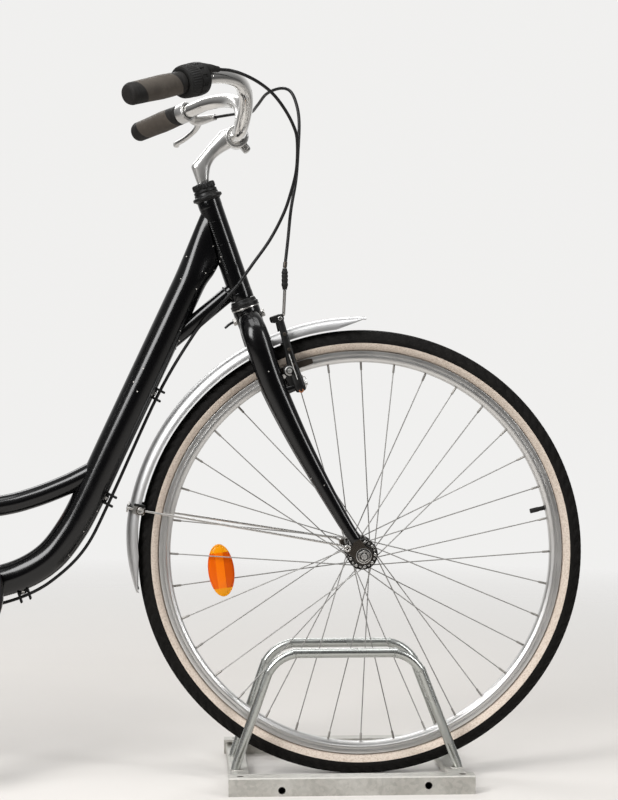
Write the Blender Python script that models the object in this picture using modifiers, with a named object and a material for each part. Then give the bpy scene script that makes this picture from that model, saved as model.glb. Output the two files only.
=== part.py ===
# City bicycle with a low-step frame, its front wheel held in a floor stand.
# Metres, +X forward, +Y to the rider's left, +Z up, origin on the floor under the middle of the bicycle.
from math import acos, asin, atan2, cos, hypot, pi, radians, sin, sqrt

import bmesh
import bpy
from mathutils import Matrix, Vector

# Driving dimensions
tyre_radius = 0.349
tyre_height = 0.0322
tyre_width = 0.037
mudguard_room = 0.021
mudguard_radius = tyre_radius + mudguard_room
toe_room = 0.275
seat_tube_room = 0.105
front_centre = mudguard_radius + toe_room
rear_centre = mudguard_radius + seat_tube_room
crank_axle_drop = 0.057
crank_axle_height = tyre_radius - crank_axle_drop
head_angle = radians(71)
seat_angle = radians(70)
fork_offset = 0.046
crown_room = 0.073
fork_length = tyre_radius + crown_room
head_tube_length = 0.162
seat_tube_length = 0.44
saddle_reach = 0.62
crank_length = 0.170
bar_half_width = 0.325
front_hub_width = 0.100
rear_hub_width = 0.130

# Clearances
seat_gap = 0.0003
turning_gap = 0.001
merge_distance = 0.000001
brake_gap = 0.003
overrun = 0.004

# Tubes of the frame
head_tube_outer = 0.0185
steerer_radius = 0.0125
main_tube_radius = 0.025
main_tube_drop = 0.052
upper_tube_radius = 0.016
upper_tube_joint = 0.125
upper_tube_sag = 0.007
brace_radius = 0.0125
brace_rise = 0.031
seat_tube_radius = 0.0165
seat_stay_drop = 0.040
crank_shell_radius = 0.021
crank_shell_width = 0.068
chain_stay_radius = 0.009
seat_stay_radius = 0.0065
bridge_radius = 0.005
guide_radius = 0.004
dropout_thickness = 0.006
dropout_radius = 0.021
tab_reach = 0.034
eyelet_reach = 0.028
cup_radius = 0.0225
cup_height = 0.013
locknut_height = 0.015

# Shares of the way from the crank axle to the top joint on the head tube, forward and up
main_tube_shares = [(1, 1), (0.908, 0.883), (0.853, 0.794), (0.764, 0.659), (0.616, 0.421), (0.513, 0.254),
                    (0.450, 0.167), (0.374, 0.095), (0.273, 0.047), (0.142, 0.018), (0, 0)]
main_tube_joint_share = 0.72
main_tube_foot_share = 0.80
upper_tube_start_shares = (0.53, 0.30)
brace_end_shares = (0.771, 0.674)
# Shares of the way to the rear axle, and of half the rear hub's width sideways
chain_stay_shares = [(0, 0.34), (0.15, 0.46), (0.26, 0.585), (0.50, 0.77), (0.85, 0.946), (0.962, 0.97)]
seat_stay_shares = [(0, 0.25), (0.10, 0.55), (0.20, 0.65), (0.60, 0.85), (0.96, 0.98)]
rear_tabs = [radians(75), radians(120), radians(160)]
carrier_tab_angle = radians(92)
front_eyelet_angle = radians(155)

# Fork and front brake
blade_half_width = 0.020
blade_flatness_share = 0.74
blade_spread = 0.0435
# Shares of the fork's length, of its offset, of the blades' spread and of their width
blade_shares = [(0.965, 0, 0.30, 0.80), (0.93, 0, 0.72, 0.95), (0.87, 0, 1, 1), (0.70, 0, 1, 0.97),
                (0.49, 0.20, 1.03, 0.80), (0.30, 0.48, 1.09, 0.62), (0.14, 0.76, 1.17, 0.50),
                (0.06, 0.93, 1.21, 0.475)]
crown_length = 0.036
crown_radius = 0.0215
brake_boss_drop = 0.141
brake_boss_along = fork_length - brake_boss_drop
brake_boss_radius = 0.006
brake_boss_length = 0.030
brake_arm_length = 0.112
brake_arm_half_width = 0.009
brake_arm_thickness = 0.016
brake_arm_lean = 0.006
brake_track_drop = 0.0055
brake_shoe_length = 0.066
brake_shoe_height = 0.010
brake_shoe_depth = 0.009
shoe_post_radius = 0.004
shoe_steps = (-1, -0.5, 0, 0.5, 1)
bolt_head = 0.005
noodle_radius = 0.0025
noodle_bend = 0.016
noodle_boot_radius = 0.0055
noodle_boot_length = 0.034
brake_wire_radius = 0.0009

# Steering
stem_radius = 0.0115
stem_rise = 0.030
bar_radius = 0.0111
clamp_radius = 0.0185
clamp_width = 0.042
bar_forward = 0.053
bar_lift = 0.0716
bar_rise = 0.074
bar_reach_back = 0.160
# Shares of the bar's half width, of its sweep back and of its rise
bar_shares = [(0, 0, 0), (0.075, 0, 0), (0.10, 0, 0), (0.20, 0.03, 0.10), (0.31, 0.07, 0.52), (0.40,
                                                                                               0.05, 0.82),
              (0.49, -0.02, 0.96), (0.58, -0.14, 1), (0.66, -0.288, 0.96), (0.69, -0.351, 0.915), (1,
        -1, 0.45)]
grip_radius = 0.0168
grip_length = 0.105
grip_gap = 0.0009
grip_wall = 0.004
grip_shares = [(0.98, 1), (0.98, 0.9), (1.06, 0.6), (1, 0.35), (1, 0.06), (0.9, 0), (0.6, -0.035)]
shifter_radius = 0.0255
shifter_length = 0.040
shifter_shares = [(0.80, 1), (1, 0.8), (1.03, 0.3), (0.93, 0)]
boot_radius = 0.0065
lever_length = 0.070
lever_reach = 0.045
lever_drop = 0.030
lever_thickness = 0.0055
lever_clamp_width = 0.018
lever_clamp_radius = 0.0165
lever_body_radius = 0.009
# Shares of the lever's length along the grip, of its reach out and of its drop, and of its thickness
lever_shares = [(-0.10, 0.62, 0.35, 1), (0.05, 0.85, 0.45, 0.9), (0.30, 1, 0.7, 0.75), (0.62, 0.98,
                                                                                        0.95, 0.75),
                (0.88, 1.02, 1, 0.8), (1, 1.12, 1, 1)]

# Cables, as points chosen along their real routes
cable_radius = 0.0025
cable_spacing = 0.020
brake_cable_route = [(-0.2235, 0.2360, 0.7010), (-0.1925, 0.2000, 0.7030), (-0.1685, 0.1500, 0.7010),
                     (-0.1585, 0.1000, 0.7080), (-0.1455, 0.0550, 0.7220), (-0.1255, 0.0280, 0.7280),
                     (-0.1105, 0.0100, 0.7220), (-0.1015, 0.0000, 0.7020), (-0.0975, -0.0100, 0.6730),
                     (-0.0995, -0.0200, 0.6280), (-0.1035, -0.0300, 0.5810), (-0.1115, -0.0350, 0.5350),
                     (-0.1165, -0.0400, 0.4880), (-0.1215, -0.0435, 0.4450)]
shift_cable_front_route = [(-0.2255, -0.2250, 0.7290), (-0.2095, -0.2130, 0.7290),
                           (-0.1905, -0.2000, 0.7250), (-0.1675, -0.1800, 0.7160),
                           (-0.1455, -0.1500, 0.7030), (-0.1265, -0.1250, 0.6830),
                           (-0.1115, -0.1000, 0.6600), (-0.1045, -0.0850, 0.6380),
                           (-0.1045, -0.0620, 0.5950), (-0.1135, -0.0530, 0.5570),
                           (-0.1245, -0.0480, 0.5260), (-0.1445, -0.0430, 0.4880),
                           (-0.1715, -0.0400, 0.4500), (-0.1930, -0.0400, 0.4196)]
shift_cable_frame_route = [(-0.1932, -0.0400, 0.4193), (-0.2135, -0.0370, 0.3960),
                           (-0.2415, -0.0210, 0.3650), (-0.2625, -0.0060, 0.3410),
                           (-0.3175, 0.0000, 0.2480), (-0.3925, 0.0000, 0.0840),
                           (-0.4315, 0.0000, 0.0090), (-0.4785, 0.0000, -0.0380),
                           (-0.5255, 0.0000, -0.0650), (-0.5855, 0.0000, -0.0820),
                           (-0.6455, -0.0100, -0.0870), (-0.7005, -0.0240, -0.0790),
                           (-0.7905, -0.0410, -0.0540), (-0.9305, -0.0520, -0.0360),
                           (-1.0405, -0.0595, -0.0220), (-1.0855, -0.0600, -0.0200)]
guide_places = (4, 5, 8)
guide_search_steps = 16
guide_gap = 0.0008

# Wheels
tyre_seat_radius = tyre_radius - tyre_height
rim_outer_radius = tyre_seat_radius - seat_gap
rim_height = 0.018
rim_inner_radius = rim_outer_radius - rim_height
brake_track_radius = rim_outer_radius - brake_track_drop
rim_width = 0.024
rim_bed_share = 0.55
rim_bend_share = 0.45
tyre_arc_steps = 8
spoke_radius = 0.001
spoke_count = 36
spoke_hole_margin = 0.003
spoke_rim_spread = 0.003
spoke_offset = 0.0012
front_crossing = radians(60)
rear_crossing = radians(40)
front_flange_radius = 0.022
front_flange_spread = 0.033
front_hub_radius = 0.0145
rear_flange_radius = 0.046
rear_flange_spread = 0.029
rear_hub_radius = 0.041
flange_thickness = 0.0046
hub_collar = 0.009
hub_collar_share = 0.62
axle_radius = 0.0048
washer_radius = 0.0122
washer_thickness = 0.0018
nut_radius = 0.0096
nut_height = 0.008
nut_dome = 0.004
reflector_inset = 0.0775
reflector_place_radius = rim_inner_radius - reflector_inset
reflector_angle = radians(187)
reflector_half_length = 0.041
reflector_half_width = 0.0205
reflector_thickness = 0.0126
valve_radius = 0.003
valve_length = 0.030
valve_angle = radians(13.3)
wheel_steps = 48

# Mudguards
mudguard_width = 0.046
mudguard_depth = 0.018
mudguard_wall = 0.0012
front_guard_start = radians(89)
front_guard_end = radians(191)
rear_guard_start = radians(-14)
rear_guard_end = radians(196)
guard_bracket_width = 0.014
guard_bracket_sink = 0.003
stay_radius = 0.0018
stay_eye_radius = 0.005
stay_clip = 0.010
stay_tip = 0.001
bridge_thickness = 0.003
bridge_length = 0.014
front_stay_angle = radians(168.6)
rear_stay_angles = (radians(150), radians(186))

# Drive
chain_line = 0.048
chain_pitch = 0.0127
chainring_teeth = 38
window_outer_share = 0.80
window_inner_share = 0.48
window_outer_turns = [radians(turn) for turn in (-24, -8, 8, 24)]
window_inner_turns = [radians(turn) for turn in (17, -17)]
sprocket_teeth = 18
chain_depth = 0.0085
chain_width = 0.0078
chain_plate = 0.0012
chainring_arc_steps = 18
sprocket_arc_steps = 9
tooth_thickness = 0.0021
tooth_rise = 0.0022
tooth_gap = 0.0008
# Shares of the tooth's pitch and of its rise
tooth_shares = [(-0.32, -1.5), (-0.10, 0.95), (0.10, 0.95), (0.32, -1.5)]
chainring_boss_radius = 0.016
sprocket_boss_overhang = 0.006
crank_inner_face = 0.068
crank_thickness = 0.013
crank_root_half_width = 0.0145
crank_tip_half_width = 0.0115
crank_rest_angle = radians(270)
spindle_radius = 0.0085
guard_inner_face = 0.0385
guard_outer_face = 0.0620
guard_wall = 0.002
guard_margin = 0.013
guard_sweep = radians(190)
guard_arc_steps = 22
guard_rear_stop = 0.100
guard_tail_height = 0.036
guard_window_radius = 0.028
guard_bracket_angle = radians(60)
guard_bracket_thickness = 0.003
guard_bracket_height = 0.012
guard_ring_bore = 0.011
pedal_length = 0.092
pedal_width = 0.086
pedal_height = 0.026
pedal_gap = 0.004
pedal_pin_radius = 0.005
pedal_core_radius = 0.010
pedal_end_thickness = 0.006
pedal_tread_depth = 0.022
pedal_bevel = 0.002
coaster_cap_radius = 0.024
coaster_neck_radius = 0.0155
coaster_step = 0.010
coaster_reach = 0.150
coaster_end_share = 0.86
coaster_arm_radius = 0.003
shift_joint_radius = 0.0155
shift_joint_thickness = 0.006

# Saddle and carrier
seat_post_radius = 0.0136
seat_post_depth = 0.080
seat_clamp_height = 0.018
seat_clamp_wall = 0.004
saddle_length = 0.265
saddle_width = 0.215
saddle_height = 0.062
saddle_set_back = 0.020
rail_lift = 0.045
rail_radius = 0.0035
rail_spread = 0.022
rail_clamp_length = 0.045
rail_clamp_height = 0.022
# Shares of the saddle's length from its tail, of its width and of its height
saddle_shares = [(0, 0.50, 0.60), (0.07, 0.90, 0.92), (0.26, 1, 1), (0.44, 0.80, 0.92), (0.62, 0.44, 0.86),
                 (0.80, 0.27, 0.82), (0.94, 0.22, 0.74), (1, 0.12, 0.45)]
saddle_section_shares = [(-0.98, -0.20), (-1, 0.35), (-0.7, 0.85), (0, 1), (0.7, 0.85), (1, 0.35),
                         (0.98, -0.20)]
# Shares of the saddle's length from its middle, of the rails' spread and of their rise
rail_shares = [(0.44, 0.22, 0.955), (0.40, 0.27, 0.975), (0.33, 0.45, 0.62), (0.18, 0.95, 0.05), (0, 1,
        0), (-0.16, 1, 0),
               (-0.26, 1.5, 0.6), (-0.32, 1.85, 0.975), (-0.37, 2, 0.955)]
carrier_height = 0.775
carrier_length = 0.36
carrier_width = 0.120
carrier_rod_radius = 0.005
carrier_front_reach = 0.175
carrier_bar_shares = (0.12, 0.42, 0.72)
carrier_leg_shares = (0.35, 0.62)
lamp_width = 0.100
lamp_height = 0.034
lamp_depth = 0.026
lamp_bevel = 0.004

# Side stand
side_stand_length = 0.285
side_stand_radius = 0.0085
side_stand_forward = 0.075
side_stand_side = 0.088
side_stand_drop = 0.062
side_stand_head_radius = 0.013
side_stand_head_length = 0.022
side_stand_bracket_radius = 0.008
side_stand_foot = 0.030
side_stand_stored = (-1, 0.02, 0.01)
side_stand_lowered = (0.12, 0.33, -0.93)

# Floor stand
stand_width = 0.340
stand_rear_reach = 0.212
stand_front_reach = 0.160
stand_rail_height = 0.028
stand_rail_flange = 0.030
stand_wall = 0.0035
stand_cross_width = 0.030
stand_cross_top = 0.018
hoop_radius = 0.0085
hoop_spread = 0.038
hoop_height = 0.207
hoop_corner = 0.062
hoop_lean = 0.040

# Facets
round_sides = 12

wheelbase = front_centre + rear_centre
front_axle_x = (wheelbase + mudguard_radius + bridge_thickness - tyre_radius) / 2
rear_axle_x = front_axle_x - wheelbase
crank_axle_x = front_axle_x - front_centre
front_axle = Vector((front_axle_x, 0, tyre_radius))
rear_axle = Vector((rear_axle_x, 0, tyre_radius))
crank_axle = Vector((crank_axle_x, 0, crank_axle_height))
steer_up = Vector((-cos(head_angle), 0, sin(head_angle)))
steer_forward = Vector((sin(head_angle), 0, cos(head_angle)))
seat_up = Vector((-cos(seat_angle), 0, sin(seat_angle)))
sideways = Vector((0, 1, 0))
upward = Vector((0, 0, 1))
chainring_radius = chain_pitch / (2 * sin(pi / chainring_teeth))
sprocket_radius = chain_pitch / (2 * sin(pi / sprocket_teeth))
head_bottom = fork_length + cup_height + 2 * seat_gap
head_top = head_bottom + head_tube_length
steerer_top = head_top + cup_height + locknut_height + 3 * seat_gap


def steer_point(along, forward=0.0, side=0.0):
    """A point given by its place along the steering axis, ahead of it and beside it."""
    foot = front_axle - steer_forward * fork_offset
    return foot + steer_up * along + steer_forward * forward + sideways * side


for old_object in list(bpy.data.objects):
    bpy.data.objects.remove(old_object)

parts = bpy.data.collections.new("city_bicycle")
cutters = bpy.data.collections.new("cutters")
bpy.context.scene.collection.children.link(parts)
bpy.context.scene.collection.children.link(cutters)


def paint(thing, colour, roughness, metallic=0.0):
    material = bpy.data.materials.new(thing.name + "_finish")
    material.use_nodes = True
    shader = material.node_tree.nodes["Principled BSDF"]
    shader.inputs["Base Color"].default_value = (*colour, 1)
    shader.inputs["Roughness"].default_value = roughness
    shader.inputs["Metallic"].default_value = metallic
    thing.data.materials.clear()
    thing.data.materials.append(material)
    thing.data.shade_smooth()
    thing.data.set_sharp_from_angle(angle=radians(40))
    return thing


black_paint = ((0.012, 0.012, 0.013), 0.35, 0.0)
black_plastic = ((0.02, 0.02, 0.02), 0.55, 0.0)
rubber = ((0.025, 0.025, 0.025), 0.8, 0.0)
bare_alloy = ((0.62, 0.63, 0.64), 0.35, 1.0)
polished = ((0.8, 0.8, 0.8), 0.15, 1.0)
galvanised = ((0.42, 0.44, 0.43), 0.6, 0.8)
dark_steel = ((0.12, 0.11, 0.10), 0.45, 1.0)
amber = ((0.75, 0.28, 0.02), 0.25, 0.0)
red = ((0.45, 0.01, 0.01), 0.25, 0.0)


def new_object(name, data):
    thing = bpy.data.objects.new(name, data)
    parts.objects.link(thing)
    return thing


def bake(thing):
    """Turn an object with its modifiers and placement into a plain welded mesh."""
    bpy.context.view_layer.update()
    graph = bpy.context.evaluated_depsgraph_get()
    mesh = bpy.data.meshes.new_from_object(thing.evaluated_get(graph))
    mesh.transform(thing.matrix_world)
    name = thing.name
    bpy.data.objects.remove(thing)
    form = bmesh.new()
    form.from_mesh(mesh)
    bmesh.ops.remove_doubles(form, verts=form.verts, dist=merge_distance)
    bmesh.ops.recalc_face_normals(form, faces=form.faces)
    form.to_mesh(mesh)
    form.free()
    return new_object(name, mesh)


def smooth_route(points, steps):
    """Points of a smooth curve that passes through the given ones."""
    points = [Vector(point) for point in points]
    padded = [2 * points[0] - points[1]] + points + [2 * points[-1] - points[-2]]
    route = []
    for before, start, end, after in zip(padded, padded[1:], padded[2:], padded[3:]):
        for step in range(steps):
            t = step / steps
            route.append(0.5 * (2 * start + (end - before) * t
                                + (2 * before - 5 * start + 4 * end - after) * t ** 2
                                + (3 * start - before - 3 * end + after) * t ** 3))
    route.append(points[-1])
    return route


def rod(name, points, radius, swell=None, sides=round_sides, smooth=0):
    """A round bar or tube along points, with a radius share at each point in swell."""
    swell = swell or [1] * len(points)
    if smooth:
        shares = smooth_route([(share, 0, 0) for share in swell], smooth)
        swell = [share.x for share in shares]
        points = smooth_route(points, smooth)
    curve = bpy.data.curves.new(name, "CURVE")
    curve.dimensions = "3D"
    curve.bevel_depth = radius
    curve.bevel_resolution = max(0, sides // 2 - 2)
    curve.use_fill_caps = True
    curve.render_resolution_u = 0
    line = curve.splines.new("POLY")
    line.points.add(len(points) - 1)
    for spot, point, share in zip(line.points, points, swell):
        spot.co = (*point, 1)
        spot.radius = share
    return bake(new_object(name, curve))


def plate(name, outlines, thickness, frame):
    """A flat plate from closed outlines, later ones being holes, in a frame given by a matrix."""
    curve = bpy.data.curves.new(name, "CURVE")
    curve.dimensions = "2D"
    curve.fill_mode = "BOTH"
    curve.extrude = thickness / 2
    for outline in outlines:
        line = curve.splines.new("POLY")
        line.points.add(len(outline) - 1)
        for spot, point in zip(line.points, outline):
            spot.co = (point[0], point[1], 0, 1)
        line.use_cyclic_u = True
    thing = new_object(name, curve)
    thing.matrix_world = frame
    return bake(thing)


def upright_frame(x, y, z):
    """Places a plate in the plane of the wheels: its X forward, its Y up, its Z to the right side."""
    return Matrix.Translation((x, y, z)) @ Matrix.Rotation(pi / 2, 4, "X")


def lengthwise_frame(x):
    """Places a plate across the bicycle: its X to the left, its Y up, its Z forward."""
    return Matrix(((0, 0, 1, x), (1, 0, 0, 0), (0, 1, 0, 0), (0, 0, 0, 1)))


def axis_frame(origin, direction):
    """Places a turned piece so that its Z lies along direction."""
    turn = Vector(direction).to_track_quat("Z", "Y").to_matrix().to_4x4()
    return Matrix.Translation(origin) @ turn


def turned(name, profile, frame, steps=24, angle=2 * pi, closed=True, wall=0.0):
    """A profile of radius and height turned round the Z axis of a frame."""
    mesh = bpy.data.meshes.new(name)
    spots = [(radius, 0, height) for radius, height in profile]
    lines = [(index, index + 1) for index in range(len(spots) - 1)]
    if closed and min(radius for radius, height in profile) > 0:
        lines.append((len(spots) - 1, 0))
    mesh.from_pydata(spots, lines, [])
    thing = new_object(name, mesh)
    screw = thing.modifiers.new("turn", "SCREW")
    screw.axis = "Z"
    screw.angle = angle
    screw.steps = steps
    screw.render_steps = steps
    screw.use_merge_vertices = True
    screw.merge_threshold = 0.00001
    if wall:
        shell = thing.modifiers.new("wall", "SOLIDIFY")
        shell.thickness = wall
        shell.offset = -1
    thing.matrix_world = frame
    return bake(thing)


def disc(name, centre, direction, radius, thickness, sides=24, bore=0.0):
    """A round slab with its middle at centre, with a bore where one is given."""
    half = thickness / 2
    if bore:
        profile = [(bore, half), (radius, half), (radius, -half), (bore, -half)]
    else:
        profile = [(0, half), (radius, half), (radius, -half), (0, -half)]
    return turned(name, profile, axis_frame(centre, direction), steps=sides)


def block(name, centre, size, frame=None, bevel=0.0):
    """A box with softened edges, centred in a frame."""
    mesh = bpy.data.meshes.new(name)
    form = bmesh.new()
    bmesh.ops.create_cube(form, size=1)
    bmesh.ops.scale(form, vec=size, verts=form.verts)
    bmesh.ops.translate(form, vec=centre, verts=form.verts)
    form.to_mesh(mesh)
    form.free()
    thing = new_object(name, mesh)
    if bevel:
        edge = thing.modifiers.new("edges", "BEVEL")
        edge.width = bevel
        edge.segments = 1
    thing.matrix_world = frame or Matrix.Identity(4)
    return bake(thing)


def combine(base, others, operation):
    for other in others:
        step = base.modifiers.new("join", "BOOLEAN")
        step.operation = operation
        step.object = other
        base = bake(base)
        bpy.data.objects.remove(other)
    return base


def fuse(name, pieces):
    base = combine(pieces[0], pieces[1:], "UNION")
    base.name = name
    return base


def cut(base, tools):
    name = base.name
    base = combine(base, tools, "DIFFERENCE")
    base.name = name
    return base


def tyre_profile():
    """Round tread over a sidewall, down the outside and back along the rim bed."""
    half = tyre_width / 2
    middle = tyre_radius - half
    dip = asin((middle - tyre_seat_radius) / half)
    sweep = pi + 2 * dip
    outside = []
    for step in range(tyre_arc_steps + 1):
        angle = pi / 2 + dip - sweep * step / tyre_arc_steps
        outside.append((middle + half * cos(angle), half * sin(angle)))
    return outside


def rim_profile():
    """Straight brake sides, a sloped bed towards the spokes and a flat top under the tyre."""
    half = rim_width / 2
    lip = tyre_seat_radius - seat_gap
    bed = half * rim_bed_share
    track = rim_inner_radius + (rim_outer_radius - rim_inner_radius) * rim_bend_share
    return [(lip, half), (lip, -half), (track, -half), (rim_inner_radius, -bed), (rim_inner_radius, bed),
            (track, half)]


def wheel_frame(axle, start=0.0):
    return Matrix.Translation(axle) @ Matrix.Rotation(pi / 2, 4, "X") @ Matrix.Rotation(start, 4, "Z")


def around(axle, radius, angle, side=0.0):
    """A point at a radius and angle from an axle, the angle counted up from straight ahead."""
    return Vector((axle.x + radius * cos(angle), side, axle.z + radius * sin(angle)))


def spoked_hub(name, axle, hub_radius, flange_radius, flange_spread, crossing):
    """Hub shell with two flanges and crossed spokes that reach the rim."""
    bore = axle_radius + turning_gap
    outer_face = flange_spread + flange_thickness / 2
    end = outer_face + hub_collar
    collar = flange_radius * hub_collar_share
    profile = [(bore, end), (collar, end), (collar, outer_face), (flange_radius, outer_face),
               (flange_radius, outer_face - flange_thickness), (hub_radius,
                                                                outer_face - 2 * flange_thickness)]
    mirrored = [(radius, -height) for radius, height in reversed(profile)]
    shell = turned(name, profile + mirrored, wheel_frame(axle), steps=20)
    hole_radius = flange_radius - spoke_hole_margin
    per_side = spoke_count // 2
    step = 2 * pi / per_side
    phase = valve_angle - step / 4
    rim_end = rim_inner_radius * cos(pi / wheel_steps) - seat_gap
    pieces = [shell]
    for side in (1, -1):
        for index in range(per_side):
            lead = 1 if index % 2 else -1
            hole_angle = phase + step * index + (0 if side > 0 else step / 2)
            inner = around(axle, hole_radius, hole_angle, side * (flange_spread + lead * spoke_offset))
            outer = around(axle, rim_end, hole_angle + lead * crossing,
                           side * (spoke_rim_spread + lead * spoke_offset))
            pieces.append(rod(name + "_spoke", [inner, outer], spoke_radius, sides=4))
    return fuse(name, pieces)


def wheel_reflector(name, axle, angle):
    """Oval reflector between the two layers of spokes."""
    outline = [(reflector_half_width * cos(2 * pi * step / 20),
                reflector_half_length * sin(2 * pi * step / 20))
               for step in range(20)]
    centre = around(axle, reflector_place_radius, angle)
    frame = upright_frame(*centre) @ Matrix.Rotation(angle + pi, 4, "Z")
    return paint(plate(name, [outline], reflector_thickness, frame), *amber)


def build_wheel(prefix, axle, hub_radius, flange_radius, flange_spread, crossing):
    tyre = turned(prefix + "_tyre", tyre_profile(), wheel_frame(axle), steps=wheel_steps)
    rim = turned(prefix + "_rim", rim_profile(), wheel_frame(axle), steps=wheel_steps)
    valve = rod("valve", [around(axle, rim_inner_radius - valve_length, valve_angle),
                          around(axle, rim_inner_radius + turning_gap, valve_angle)], valve_radius, sides=8)
    rim = fuse(prefix + "_rim", [rim, valve])
    hub = spoked_hub(prefix + "_hub_and_spokes", axle, hub_radius, flange_radius, flange_spread, crossing)
    reflector = wheel_reflector(prefix + "_reflector", axle, reflector_angle)
    return [paint(tyre, *rubber), paint(rim, *bare_alloy), paint(hub, *polished), reflector]


def axle_with_nuts(name, axle, hub_width):
    """Axle rod with a washer and a domed nut against each dropout."""
    face = hub_width / 2 + dropout_thickness + seat_gap
    washer = face + washer_thickness
    nut = washer + nut_height
    half = [(0, nut + nut_dome), (axle_radius, nut + nut_dome * 0.8), (nut_radius * 0.86,
                                                                       nut + nut_dome * 0.2),
            (nut_radius, nut - nut_dome * 0.3), (nut_radius, washer), (washer_radius, washer),
            (washer_radius, face), (axle_radius, face)]
    profile = half + [(radius, -height) for radius, height in reversed(half)]
    return paint(turned(name, profile, wheel_frame(axle), steps=12), *polished)


# Fork, steering and front brake

def blade_spread_share(along_share):
    """Sideways share of a blade's middle line at a place along the fork."""
    for upper, lower in zip(blade_shares, blade_shares[1:]):
        if along_share >= lower[0]:
            mix = min(1, (along_share - lower[0]) / (upper[0] - lower[0]))
            return lower[2] + mix * (upper[2] - lower[2])
    return blade_shares[-1][2]


def fork_blade(side):
    """Oval blade that tapers and sweeps forward, pressed flat sideways about its middle line."""
    points = [steer_point(along * fork_length, ahead * fork_offset, side * spread * blade_spread)
              for along, ahead, spread, width in blade_shares]
    swell = [width for along, ahead, spread, width in blade_shares]
    blade = rod("blade", points, blade_half_width, swell=swell, sides=round_sides, smooth=2)
    for corner in blade.data.vertices:
        along = (corner.co - steer_point(0)).dot(steer_up) / fork_length
        middle = side * blade_spread * blade_spread_share(along)
        corner.co.y = middle + (corner.co.y - middle) * blade_flatness_share
    return blade


def axle_plate(name, axle, side, hub_width, tabs):
    """Dropout plate with tabs for the stays, given by angle, and a hole for the axle."""
    outline = []
    for step in range(32):
        angle = 2 * pi * step / 32
        towards = max(max(0.0, cos(angle - tab)) for tab in tabs) ** 12
        reach = dropout_radius + towards * (tab_reach - dropout_radius)
        outline.append((reach * cos(angle), reach * sin(angle)))
    hole_radius = axle_radius + seat_gap
    hole = [(hole_radius * cos(2 * pi * step / 12),
             hole_radius * sin(2 * pi * step / 12)) for step in range(12)]
    middle = side * (hub_width + dropout_thickness) / 2
    return plate(name, [outline, hole], dropout_thickness, upright_frame(axle.x, middle, axle.z))


def build_fork():
    steerer = rod("steerer", [steer_point(fork_length - crown_length), steer_point(steerer_top)],
                  steerer_radius, sides=16)
    crown = rod("crown", [steer_point(fork_length - crown_length), steer_point(fork_length)],
                crown_radius, swell=[0.9, 1], sides=16)
    pieces = [crown, steerer]
    for side in (1, -1):
        pieces.append(fork_blade(side))
        pieces.append(axle_plate("dropout", front_axle, side, front_hub_width, [front_eyelet_angle]))
        pieces.append(rod("boss", [steer_point(brake_boss_along, 0, side * blade_spread),
                                   steer_point(brake_boss_along, brake_boss_length, side * blade_spread)],
                          brake_boss_radius, sides=10))
    return paint(fuse("fork", pieces), *black_paint)


def ring_on_axis(name, start, height, radius, bore, sides=20):
    """A ring round the steering axis from one place along it."""
    centre = steer_point(start + height / 2)
    return disc(name, centre, steer_up, radius, height, sides=sides, bore=bore)


def build_headset():
    bore = steerer_radius + turning_gap
    lower = ring_on_axis("headset_lower", fork_length + seat_gap, cup_height, cup_radius, bore)
    upper = ring_on_axis("headset_upper", head_top + seat_gap, cup_height, cup_radius * 0.93, bore)
    nut_start = head_top + cup_height + 2 * seat_gap
    nut = ring_on_axis("headset_locknut", nut_start, locknut_height, cup_radius * 0.9,
                       steerer_radius + seat_gap)
    return [paint(lower, *black_plastic), paint(upper, *black_plastic), paint(nut, *black_plastic)]


def clamp_centre():
    top = steer_point(steerer_top)
    return Vector((top.x + bar_forward, 0, top.z + bar_lift))


def build_stem():
    clamp = clamp_centre()
    foot = steer_point(steerer_top + seat_gap)
    elbow = steer_point(steerer_top + stem_rise)
    lift = steer_point(steerer_top + stem_rise * 0.45)
    reach = elbow + (clamp - elbow) * 0.25
    body = rod("stem", [foot, lift, elbow, reach, clamp], stem_radius,
               swell=[0.96, 1, 1.08, 1.08, 1], sides=14, smooth=3)
    ring = rod("clamp", [clamp - sideways * clamp_width / 2, clamp + sideways * clamp_width / 2],
               clamp_radius, sides=16)
    bore = rod("bore", [clamp - sideways * clamp_width, clamp + sideways * clamp_width],
               (bar_radius + seat_gap) / cos(pi / round_sides), sides=round_sides)
    return paint(cut(fuse("stem", [body, ring]), [bore]), *bare_alloy)


def bar_points(side):
    clamp = clamp_centre()
    return [Vector((clamp.x + back * bar_reach_back, side * out * bar_half_width,
                    clamp.z + rise * bar_rise))
            for out, back, rise in bar_shares]


def build_bar():
    route = list(reversed(bar_points(-1))) + bar_points(1)[1:]
    return paint(rod("handlebar", route, bar_radius, sides=round_sides, smooth=2), *polished)


def grip_line(side):
    """The straight end of the bar, as its outer end and the direction inwards along it."""
    points = bar_points(side)
    return points[-1], (points[-2] - points[-1]).normalized()


def build_grip(name, side):
    """Rubber grip, closed at its end and open towards the middle of the bar."""
    end, inward = grip_line(side)
    bore = bar_radius + grip_gap
    outer = [(radius * grip_radius, place * grip_length) for radius, place in grip_shares]
    solid = turned(name, [(0, grip_length)] + outer + [(0, -grip_wall)], axis_frame(end, inward), steps=16)
    hole = rod("hole", [end - inward * grip_gap, end + inward * (grip_length + overrun)], bore, sides=16)
    return paint(cut(solid, [hole]), *rubber)


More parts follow.
